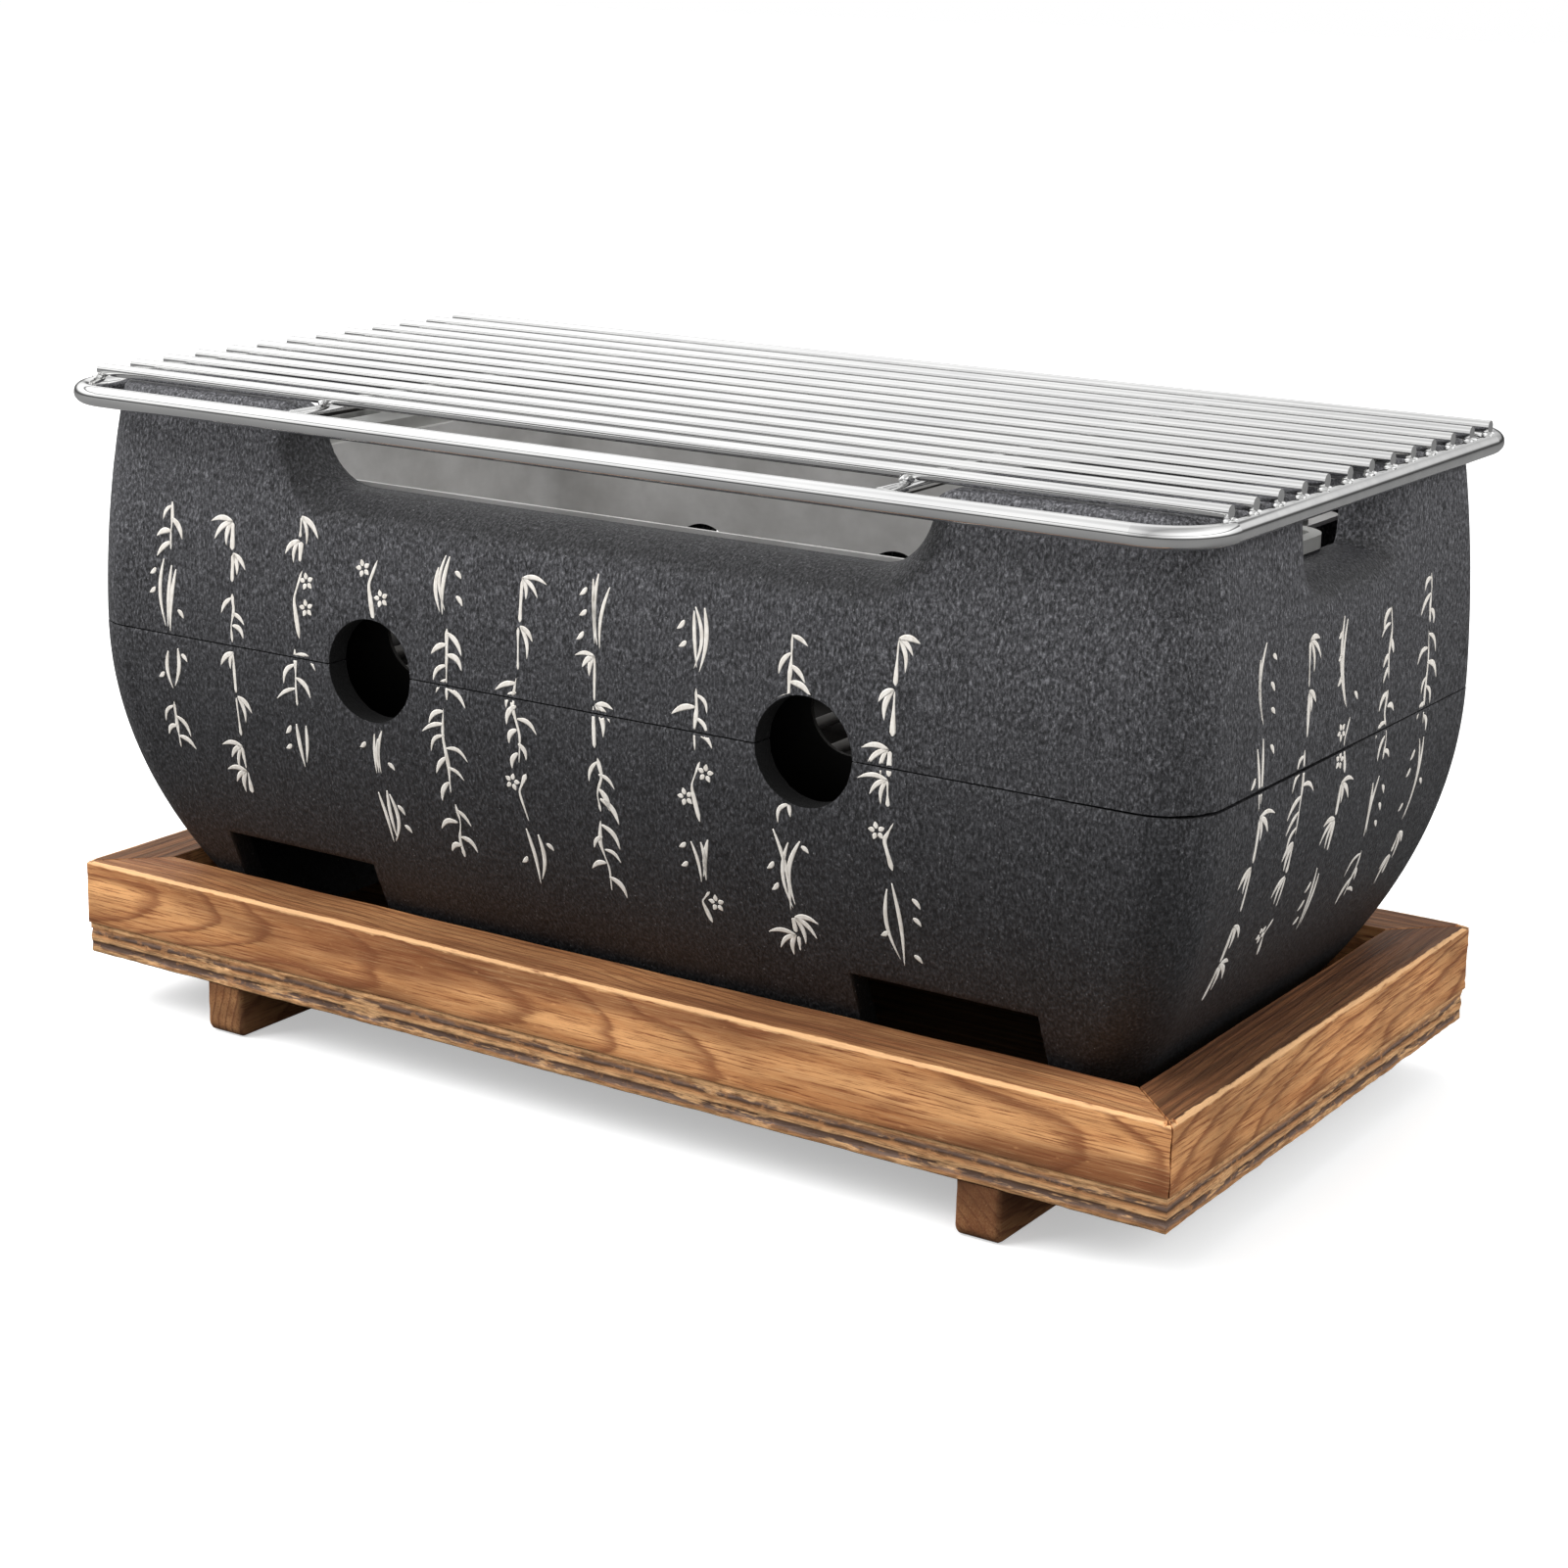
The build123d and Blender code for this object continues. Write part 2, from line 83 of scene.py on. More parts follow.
# The castings' other sizes follow the CAD source, apart from their rolls and the end notches' flare.
END_ARCS = (94.0, 485.0)             # radius below the seam, radius above it
SIDE_ARCS = (117.0, 238.0)
CORNER, INNER_CORNER = 10.8, 6.8
WALL = 5.0
OPENING = (112.2, 50.8, 6.0)         # half length, half depth, corner
BAND = RIM - 16.8
FLOOR_LOW = BASE + 25.0
FLOOR_HIGH = BASE + 29.0
NOTCH = BASE + 97.0
SIDE_NOTCH, SIDE_NOTCH_CORNER = 69.0, 11.5
END_NOTCH, END_NOTCH_LEAN, END_NOTCH_CORNER = 14.6, 1.0, 1.5
FLARE_FROM, FLARE_LENGTH = 114.5, 11.0
FLARE_WIDER, FLARE_DEEPER, FLARE_ROUNDER = 5.0, 1.6, 5.0
INSIDE_ENDS = 100.0
VENT_X, VENT_R = 49.2, 10.0
CUTOUT_X, CUTOUT_HALF, CUTOUT_TOP = 74.5, 19.0, BASE + 22.5
BOSS_X, BOSS_Y, BOSS_R, BOSS_WEB = 103.5, 43.0, 5.0, 2.0
BOSS_TOP = BASE + 84.0
SCREW_R, SCREW_FROM = 2.05, 60.0
SIDE_NOTCH_ROLL, END_NOTCH_ROLL, RIM_ROLL = 7.0, 5.5, 1.8
BAND_ROLL, OPENING_ROLL, BOSS_ROLL = 1.0, 0.9, 0.8
SHARP_ROLL, CUTOUT_ROLL, VENT_ROLL, SEAM_ROLL = 0.6, 0.5, 0.45, 0.25
SEAM_GAP, SEAM_WIDER = 0.13, 0.16    # half of the gap, and what it grows by


# ================ fields: negative inside
def meet(a, b, r):
    """Both a and b, with their shared edge rolled to radius r."""
    ua = np.maximum(a + r, 0)
    ub = np.maximum(b + r, 0)
    return np.minimum(np.maximum(a, b), -r) + np.sqrt(ua * ua + ub * ub)


def cut(a, b, r):
    """a without b, the cut edge rolled to radius r."""
    return meet(a, -b, r)


def rounded_box(u, v, half_u, half_v, r):
    """Distance to a rounded rectangle in two directions."""
    qu = np.abs(u) - (half_u - r)
    qv = np.abs(v) - (half_v - r)
    outside = np.hypot(np.maximum(qu, 0), np.maximum(qv, 0))
    return outside + np.minimum(np.maximum(qu, qv), 0) - r


def half_width(z, widest, arcs):
    """How wide the barrel is at a height: one arc below the seam and one above."""
    rise = z - SEAM
    radius = np.where(rise < 0, arcs[0], arcs[1])
    return widest - (radius - np.sqrt(np.maximum(radius**2 - rise**2, 1)))


def barrel(x, y, z, inset, corner):
    """The barrel-sided form, pulled in by inset."""
    half_x = half_width(z, HALF_LENGTH - inset, END_ARCS)
    half_y = half_width(z, HALF_DEPTH - inset, SIDE_ARCS)
    qx = np.abs(x) - (half_x - corner)
    qy = np.abs(y) - (half_y - corner)
    outside = np.hypot(np.maximum(qx, 0), np.maximum(qy, 0))
    return outside + np.minimum(np.maximum(qx, qy), 0) - corner


def smooth_step(t):
    """0 up to t = 0, 1 from t = 1, and a smooth rise between."""
    t = np.clip(t, 0, 1)
    return t * t * (3 - 2 * t)


def casting(x, y, z):
    """Both castings as one solid, before they are parted at the seam."""
    solid = meet(barrel(x, y, z, 0, CORNER), z - RIM, RIM_ROLL)
    solid = meet(solid, BASE - z, SHARP_ROLL)
    top = RIM + 40.0
    middle = (NOTCH + top) / 2
    side_notch = rounded_box(x, z - middle, SIDE_NOTCH, top - middle, SIDE_NOTCH_CORNER)
    solid = cut(solid, side_notch, SIDE_NOTCH_ROLL)
    outward = smooth_step((np.abs(x) - FLARE_FROM) / FLARE_LENGTH)
    scoop_half = END_NOTCH + END_NOTCH_LEAN * (z - NOTCH) / (RIM - NOTCH) + FLARE_WIDER * outward
    scoop_low = NOTCH - FLARE_DEEPER * outward
    end_notch = meet(np.abs(y) - scoop_half, scoop_low - z, END_NOTCH_CORNER + FLARE_ROUNDER * outward)
    end_notch = np.maximum(end_notch, INSIDE_ENDS - np.abs(x))
    solid = cut(solid, end_notch, END_NOTCH_ROLL)
    opening = np.maximum(rounded_box(x, y, *OPENING), BAND - 1.0 - z)
    solid = cut(solid, opening, OPENING_ROLL)
    cavity = barrel(x, y, z, WALL, INNER_CORNER)
    hollow = meet(np.maximum(cavity, FLOOR_HIGH - z), z - BAND, BAND_ROLL)
    dx, dy = np.abs(x) - BOSS_X, np.abs(y) - BOSS_Y
    boss = np.hypot(dx, dy) - BOSS_R
    along, across = (dx + dy) / math.sqrt(2), (dx - dy) / math.sqrt(2)
    web = np.maximum(np.abs(across) - BOSS_WEB, -along)
    boss = np.maximum(np.minimum(boss, web), z - BOSS_TOP)
    hollow = cut(hollow, boss, BOSS_ROLL)
    solid = cut(solid, hollow, SHARP_ROLL)
    solid = cut(solid, np.maximum(cavity, z - FLOOR_LOW), SHARP_ROLL)
    vent = np.hypot(np.abs(x) - VENT_X, z - SEAM) - VENT_R
    solid = cut(solid, vent, VENT_ROLL)
    cutout = np.maximum(np.abs(np.abs(x) - CUTOUT_X) - CUTOUT_HALF, z - CUTOUT_TOP)
    solid = cut(solid, cutout, CUTOUT_ROLL)
    screw = np.maximum(np.hypot(dx, dy) - SCREW_R, SCREW_FROM - z)
    return np.maximum(solid, -screw)


def seam_gap(x, y):
    """Half the gap between the castings: a hair, a little wider at the front of the right end."""
    near = smooth_step((x - 90.0) / 40.0) * smooth_step((HALF_DEPTH + 5 - np.abs(y + 30)) / 60.0)
    return SEAM_GAP + SEAM_WIDER * near


def upper_casting(x, y, z):
    return meet(casting(x, y, z), SEAM + seam_gap(x, y) - z, SEAM_ROLL)


def lower_casting(x, y, z):
    return meet(casting(x, y, z), z - SEAM + seam_gap(x, y), SEAM_ROLL)


# ================ noise and surfacing
def noise(x, y, z, seed):
    """Smooth value noise between -1 and 1, the same every time."""
    corners = [np.floor(v).astype(np.int64) for v in (x, y, z)]
    fx, fy, fz = (smooth_step(v - c) for v, c in zip((x, y, z), corners))
    total = 0.0
    for ix in (0, 1):
        for iy in (0, 1):
            for iz in (0, 1):
                h = (corners[0] + ix) * 374761393 + (corners[1] + iy) * 668265263
                h = h + (corners[2] + iz) * 2147483647 + seed * 1274126177
                h = (h ^ (h >> 13)) * 1103515245
                h = (h ^ (h >> 16)) & 0xFFFF
                weight = (fx if ix else 1 - fx) * (fy if iy else 1 - fy) * (fz if iz else 1 - fz)
                total = total + weight * (h / 32767.5 - 1)
    return total


SLAB = 16              # grid layers worked out at a time
ROOT_STEPS = 3         # false-position steps along each crossed grid edge
PROBE = 0.02           # share of a cell between the two samples of a slope
PULL = 0.04            # weight that keeps a vertex near the mean of its crossings


def surface(field, low, high, step):
    """Dual contouring: quads on the zero level of a field, with its sharp edges kept."""
    low = np.asarray(low, float)
    counts = [int(math.ceil((h - l) / step)) + 1 for l, h in zip(low, high)]
    ticks = [low[i] + step * np.arange(counts[i]) for i in range(3)]
    values = np.empty(counts, np.float32)
    grid_y, grid_z = np.meshgrid(ticks[1], ticks[2], indexing="ij")
    for start in range(0, counts[0], SLAB):
        part = ticks[0][start:start + SLAB]
        x = np.broadcast_to(part[:, None, None], (len(part), *grid_y.shape))
        values[start:start + SLAB] = field(x, grid_y[None] + 0 * x, grid_z[None] + 0 * x)
    inside = values < 0
    cell_lists, points = [], []
    strides = np.array([counts[1] * counts[2], counts[2], 1])
    for axis in range(3):
        second, third = (axis + 1) % 3, (axis + 2) % 3
        first_end = [slice(None)] * 3
        last_end = [slice(None)] * 3
        first_end[axis], last_end[axis] = slice(None, -1), slice(1, None)
        crossed = inside[tuple(first_end)] != inside[tuple(last_end)]
        index = np.argwhere(crossed)
        index = index[(index[:, second] > 0) & (index[:, third] > 0)]
        index = index[(index[:, second] < counts[second] - 1) & (index[:, third] < counts[third] - 1)]
        start_value = values[tuple(index.T)].astype(float)
        after = index.copy()
        after[:, axis] += 1
        end_value = values[tuple(after.T)].astype(float)
        share = start_value / (start_value - end_value)
        point = low + step * index
        lower, upper = np.zeros(len(index)), np.ones(len(index))
        base = point[:, axis].copy()
        for _ in range(ROOT_STEPS):
            point[:, axis] = base + step * share
            value = field(point[:, 0], point[:, 1], point[:, 2])
            same = (value < 0) == (start_value < 0)
            lower, start_v = np.where(same, share, lower), np.where(same, value, start_value)
            upper, end_v = np.where(same, upper, share), np.where(same, end_value, value)
            start_value, end_value = start_v, end_v
            share = lower + (upper - lower) * start_value / (start_value - end_value)
        point[:, axis] = base + step * share
        steps = [(-1, -1), (0, -1), (0, 0), (-1, 0)]
        cells = np.stack(
            [index @ strides + a * strides[second] + b * strides[third] for a, b in steps], 1
        )
        leaving = inside[tuple(index.T)]
        cells = np.where(leaving[:, None], cells, cells[:, ::-1])
        cell_lists.append(cells)
        points.append(point)
    points = np.concatenate(points)
    cells = np.concatenate(cell_lists)
    h = step * PROBE
    normal = np.empty_like(points)
    for axis in range(3):
        ahead, behind = points.copy(), points.copy()
        ahead[:, axis] += h
        behind[:, axis] -= h
        normal[:, axis] = field(*ahead.T) - field(*behind.T)
    normal /= np.maximum(np.linalg.norm(normal, axis=1), 1e-12)[:, None]
    unique, inverse = np.unique(cells, return_inverse=True)
    inverse = inverse.reshape(cells.shape)
    flat = inverse.ravel()
    total = len(unique)
    tally = np.bincount(flat, minlength=total).astype(float)

    def gather(per_point):
        return np.bincount(flat, weights=np.repeat(per_point, 4), minlength=total)

    mean = np.stack([gather(points[:, i]) for i in range(3)], 1) / tally[:, None]
    matrix = np.empty((total, 3, 3))
    offset = np.einsum("ij,ij->i", normal, points)
    right = np.empty((total, 3))
    for i in range(3):
        for j in range(i, 3):
            matrix[:, i, j] = matrix[:, j, i] = gather(normal[:, i] * normal[:, j])
        right[:, i] = gather(normal[:, i] * offset)
    matrix += PULL * np.eye(3)
    right = right + PULL * mean
    spot = np.linalg.solve(matrix, right[:, :, None])[:, :, 0]
    cell_low = np.stack(np.unravel_index(unique, counts), 1) * step + low
    spot = np.clip(spot, cell_low - 0.1 * step, cell_low + 1.1 * step)
    return spot, inverse


def thinned(piece, keep):
    """Replaces a piece's mesh by one with fewer faces where it is flat or nearly so."""
    modifier = piece.modifiers.new("thin", "DECIMATE")
    modifier.ratio = keep
    bpy.context.view_layer.update()
    full = piece.data
    evaluated = piece.evaluated_get(bpy.context.evaluated_depsgraph_get())
    piece.data = bpy.data.meshes.new_from_object(evaluated)
    piece.modifiers.clear()
    bpy.data.meshes.remove(full)


def mesh_piece(name, verts, faces, material, body, slot, *replaced, sharp=35.0, keep=1.0):
    """A mesh from millimetre points, riding on a CAD body and standing for CAD nodes."""
    mesh = bpy.data.meshes.new(name)
    faces = np.asarray(faces)
    mesh.vertices.add(len(verts))
    mesh.vertices.foreach_set("co", (np.asarray(verts) * MM).astype(np.float32).ravel())
    size = faces.shape[1]
    mesh.loops.add(faces.size)
    mesh.loops.foreach_set("vertex_index", faces.astype(np.int32).ravel())
    mesh.polygons.add(len(faces))
    mesh.polygons.foreach_set("loop_start", np.arange(0, faces.size, size, dtype=np.int32))
    mesh.polygons.foreach_set("loop_total", np.full(len(faces), size, np.int32))
    mesh.update(calc_edges=True)
    mesh.validate()
    mesh.materials.append(material)
    piece = bpy.data.objects.new(name, mesh)
    bpy.context.scene.collection.objects.link(piece)
    if keep < 1:
        thinned(piece, keep)
    piece.data.shade_smooth()
    piece.data.set_sharp_from_angle(angle=math.radians(sharp))
    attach(piece, body)
    if replaced:
        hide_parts(*replaced)
    return piece


# ================ materials
def set_stops(ramp, stops):
    """Places a colour ramp's stops, each a grey level or a colour."""
    while len(ramp.elements) < len(stops):
        ramp.elements.new(0.5)
    for element, (place, value) in zip(ramp.elements, stops):
        element.position = place
        element.color = (value, value, value, 1) if isinstance(value, float) else (*value, 1)


class Paint:
    """Short names for building one material's nodes."""

    def __init__(self, name, **settings):
        self.material = bpy.data.materials.new(name)
        self.material.use_nodes = True
        self.tree = self.material.node_tree
        self.shader = self.tree.nodes["Principled BSDF"]
        for key, value in settings.items():
            self.shader.inputs[key.replace("_", " ")].default_value = value
        coords = self.tree.nodes.new("ShaderNodeTexCoord")
        self.place = coords.outputs["Object"]

    def node(self, kind, inputs=(), **settings):
        made = self.tree.nodes.new(kind)
        for key, value in settings.items():
            setattr(made, key, value)
        for key, value in dict(inputs).items():
            socket = made.inputs[key]
            if isinstance(value, bpy.types.NodeSocket):
                self.tree.links.new(value, socket)
            else:
                socket.default_value = value
        return made

    def math(self, operation, a, b=0.0, c=0.0):
        return self.node("ShaderNodeMath", {0: a, 1: b, 2: c}, operation=operation).outputs[0]

    def plus(self, a, b):
        return self.math("ADD", a, b)

    def minus(self, a, b):
        return self.math("SUBTRACT", a, b)

    def times(self, a, b):
        return self.math("MULTIPLY", a, b)

    def times_plus(self, a, b, c):
        return self.math("MULTIPLY_ADD", a, b, c)

    def size(self, a):
        return self.math("ABSOLUTE", a)

    def under(self, a, limit):
        """1 where a is less than the limit, else 0."""
        return self.math("LESS_THAN", a, limit)

    def distance(self, a, b):
        """How far away the point is where a and b are both 0."""
        return self.math("SQRT", self.plus(self.times(a, a), self.times(b, b)))

    def scaled(self, factors, shift=(0, 0, 0)):
        """The object coordinates in millimetres, scaled and shifted."""
        scale = tuple(f / MM for f in factors)
        inputs = {"Vector": self.place, "Scale": scale, "Location": shift}
        return self.node("ShaderNodeMapping", inputs).outputs[0]

    def noise(self, vector, detail=3.0, rough=0.5, color=False):
        inputs = {"Vector": vector, "Scale": 1.0, "Detail": detail, "Roughness": rough}
        return self.node("ShaderNodeTexNoise", inputs).outputs["Color" if color else "Fac"]

    def ramp(self, factor, *stops):
        made = self.node("ShaderNodeValToRGB", {"Fac": factor})
        set_stops(made.color_ramp, stops)
        return made.outputs["Color"]

    def mix(self, factor, a, b, blend="MIX"):
        a, b = ((*value, 1) if isinstance(value, tuple) else value for value in (a, b))
        inputs = {0: factor, 6: a, 7: b}
        return self.node("ShaderNodeMix", inputs, data_type="RGBA", blend_type=blend).outputs[2]

    def split(self, vector):
        return self.node("ShaderNodeSeparateXYZ", {0: vector}).outputs

    def facing(self):
        """The three parts of the surface's normal."""
        return self.split(self.node("ShaderNodeNewGeometry").outputs["Normal"])

    def join(self, x, y, z):
        return self.node("ShaderNodeCombineXYZ", {0: x, 1: y, 2: z}).outputs[0]

    def bump(self, height, strength, distance):
        inputs = {"Height": height, "Strength": strength, "Distance": distance * MM}
        return self.node("ShaderNodeBump", inputs).outputs[0]

    def finish(self, color=None, rough=None, normal=None):
        for key, value in (("Base Color", color), ("Roughness", rough), ("Normal", normal)):
            if value is not None:
                self.tree.links.new(value, self.shader.inputs[key])
        return self.material


CORNERS_FROM = 95.0    # beyond this length the casting's plan turns its corners
RIM_BAND = 2.5         # how much of the rim's height is left out of the painted shade on the rolls
BORE_MARGIN = 0.08
# The near-black painted shade in the vent bores.
PAINTED_BORE_SHADE = (0.004, 0.004, 0.004)
# The near-black of the painted shade on the trough.
TROUGH_SHADE_COLOR = (0.008, 0.007, 0.006)
HOLES_WITHIN, HOLE_WALL_FROM = 75.0, 30.0


def coating():
    """Textured black heat-resistant coating: fine leathery grain with sparse pale specks, plus painted
    shade: darker towards the bottom, on the rolls round the notches and in the vent bores.
    """
    p = Paint("black_coating", Metallic=0.0, Specular_IOR_Level=0.46)
    warp = p.noise(p.scaled((0.9, 0.9, 0.7)), detail=2.0, color=True)
    stretched = p.scaled((2.1, 2.1, 1.15))
    bent = p.node("ShaderNodeVectorMath", {0: stretched, 1: warp}, operation="ADD").outputs[0]
    grain = p.noise(bent, detail=3.0, rough=0.62)
    fine = p.noise(p.scaled((5.2, 5.2, 4.0)), detail=1.0)
    cloud = p.noise(p.scaled((0.035, 0.035, 0.02)), detail=3.0)
    height = p.plus(grain, p.times(fine, 0.3))
    speck = p.node("ShaderNodeTexVoronoi", {"Vector": p.scaled((0.55, 0.55, 0.55)), "Scale": 1.0})
    dot = p.under(speck.outputs["Distance"], 0.07)
    shade = p.ramp(grain, (0.34, (0.010, 0.010, 0.011)), (0.48, (0.044, 0.044, 0.048)),
                   (0.60, (0.100, 0.100, 0.108)), (0.72, (0.22, 0.22, 0.235)))
    shade = p.mix(p.ramp(cloud, (0.35, 0.0), (0.7, 0.20)), shade, (0.050, 0.050, 0.054))
    x, y, z = p.split(p.place)
    # Painted shade and light: the colour is darkened towards the bottom and brightened towards the rim, as
    # light from above would fall.
    level = p.times(p.minus(z, BASE * MM), 1 / ((RIM - BASE) * MM))
    painted_shade_by_height = p.ramp(p.times_plus(cloud, 0.12, level), (0.05, 0.11), (0.50, 0.60), (1.0, 1.42))
    shade = p.mix(1.0, shade, painted_shade_by_height, blend="MULTIPLY")
    # Painted shade: the rolls round the notches are darkened where they face up, or sideways away from the
    # corners.
    normal = p.facing()
    off_corners = p.under(p.size(x), CORNERS_FROM * MM)
    notch_roll_shade = p.times_plus(p.size(normal[0]), off_corners, p.math("MAXIMUM", normal[2], 0.0))
    notch_roll_shade = p.times(notch_roll_shade, p.under(z, (RIM - RIM_BAND) * MM))
    shade = p.mix(1.0, shade, p.ramp(notch_roll_shade, (0.14, 1.0), (0.60, 0.34)), blend="MULTIPLY")
    shade = p.mix(p.times(dot, 0.40), shade, (0.42, 0.42, 0.43))
    # Painted shade: the vent bores are coloured near-black, as deep shade, and made fully rough.
    from_axis = p.distance(p.minus(p.size(x), VENT_X * MM), p.minus(z, SEAM * MM))
    in_bore = p.under(from_axis, (VENT_R + BORE_MARGIN) * MM)
    shade = p.mix(p.times(in_bore, 0.94), shade, PAINTED_BORE_SHADE)
    rough = p.math("MAXIMUM", p.ramp(grain, (0.3, 0.58), (0.7, 0.38)), in_bore)
    return p.finish(shade, rough, p.bump(height, 0.95, 0.26))


def ink():
    """Cream ink, slightly uneven where it lies over the coating's grain."""
    p = Paint("cream_ink", Specular_IOR_Level=0.3)
    grain = p.noise(p.scaled((1.15, 1.15, 0.62)), detail=3.0, rough=0.6)
    worn = p.noise(p.scaled((0.16, 0.16, 0.16)), detail=4.0, rough=0.6)
    color = p.ramp(grain, (0.28, (0.72, 0.67, 0.60)), (0.6, (0.92, 0.88, 0.82)))
    color = p.mix(p.ramp(worn, (0.60, 0.0), (0.78, 0.30)), color, (0.50, 0.43, 0.35))
    return p.finish(color, p.ramp(worn, (0.3, 0.5), (0.7, 0.66)), p.bump(grain, 0.3, 0.08))


def chrome():
    """Bright polished wire, faintly cloudy along its length."""
    p = Paint("polished_wire", Metallic=1.0)
    cloud = p.noise(p.scaled((0.06, 0.3, 0.3)), detail=3.0)
    color = p.ramp(cloud, (0.3, (0.83, 0.83, 0.83)), (0.7, (0.93, 0.93, 0.92)))
    return p.finish(color, p.ramp(cloud, (0.3, 0.03), (0.7, 0.06)))


def painted_trough_shade(p, color, cloud):
    """Painted shade on the trough: near-black on its outside, deep in it and round the edges of its side
    holes.
    """
    x, y, z = p.split(p.place)
    facing = p.facing()
    out_x = p.times(facing[0], p.times(x, 1 / (HALF_LENGTH * MM)))
    out_y = p.times(facing[1], p.times(y, 2 / (HALF_DEPTH * MM)))
    outward = p.minus(p.plus(out_x, out_y), facing[2])
    below_rim = p.under(z, (LINER_RIM - 2.0) * MM)
    # Painted shade: near-black where the trough faces outward below its rim, low inside it, and on the
    # edges of its side holes.
    color = p.mix(p.times(p.ramp(outward, (0.15, 0.0), (0.4, 0.96)), below_rim), color, TROUGH_SHADE_COLOR)
    depth = p.times(p.minus(z, LINER_FLOOR * MM), 1 / ((LINER_RIM - LINER_FLOOR) * MM))
    color = p.mix(p.ramp(p.times_plus(cloud, 0.10, depth), (0.34, 0.97), (0.56, 0.0)), color, TROUGH_SHADE_COLOR)
    edge_on = p.under(p.size(facing[1]), 0.6)
    in_wall = p.math("GREATER_THAN", p.size(y), HOLE_WALL_FROM * MM)
    in_wall = p.times(in_wall, p.under(p.size(x), HOLES_WITHIN * MM))
    return p.mix(p.times(p.times(edge_on, in_wall), below_rim), color, TROUGH_SHADE_COLOR)


def sheet_steel(name, dark, light, rough_low, rough_high, trough_shade=False):
    """Dull stainless sheet with brushed lines and cloudy heat stains, with painted shade if it's the
    trough.
    """
    p = Paint(name, Metallic=0.7)
    brushed = p.noise(p.scaled((0.05, 0.05, 1.6)), detail=3.0, rough=0.7)
    cloud = p.noise(p.scaled((0.045, 0.045, 0.06)), detail=4.0, rough=0.6)
    blotch = p.noise(p.scaled((0.35, 0.35, 0.35)), detail=3.0)
    color = p.ramp(cloud, (0.30, dark), (0.72, light))
    color = p.mix(p.ramp(blotch, (0.55, 0.0), (0.8, 0.25)), color, dark)
    rough = p.ramp(p.plus(p.times(brushed, 0.5), p.times(cloud, 0.5)),
                   (0.3, rough_low), (0.7, rough_high))
    # The trough gets painted shade.
    if trough_shade:
        color = painted_trough_shade(p, color, cloud)
    return p.finish(color, rough, p.bump(brushed, 0.12, 0.05))


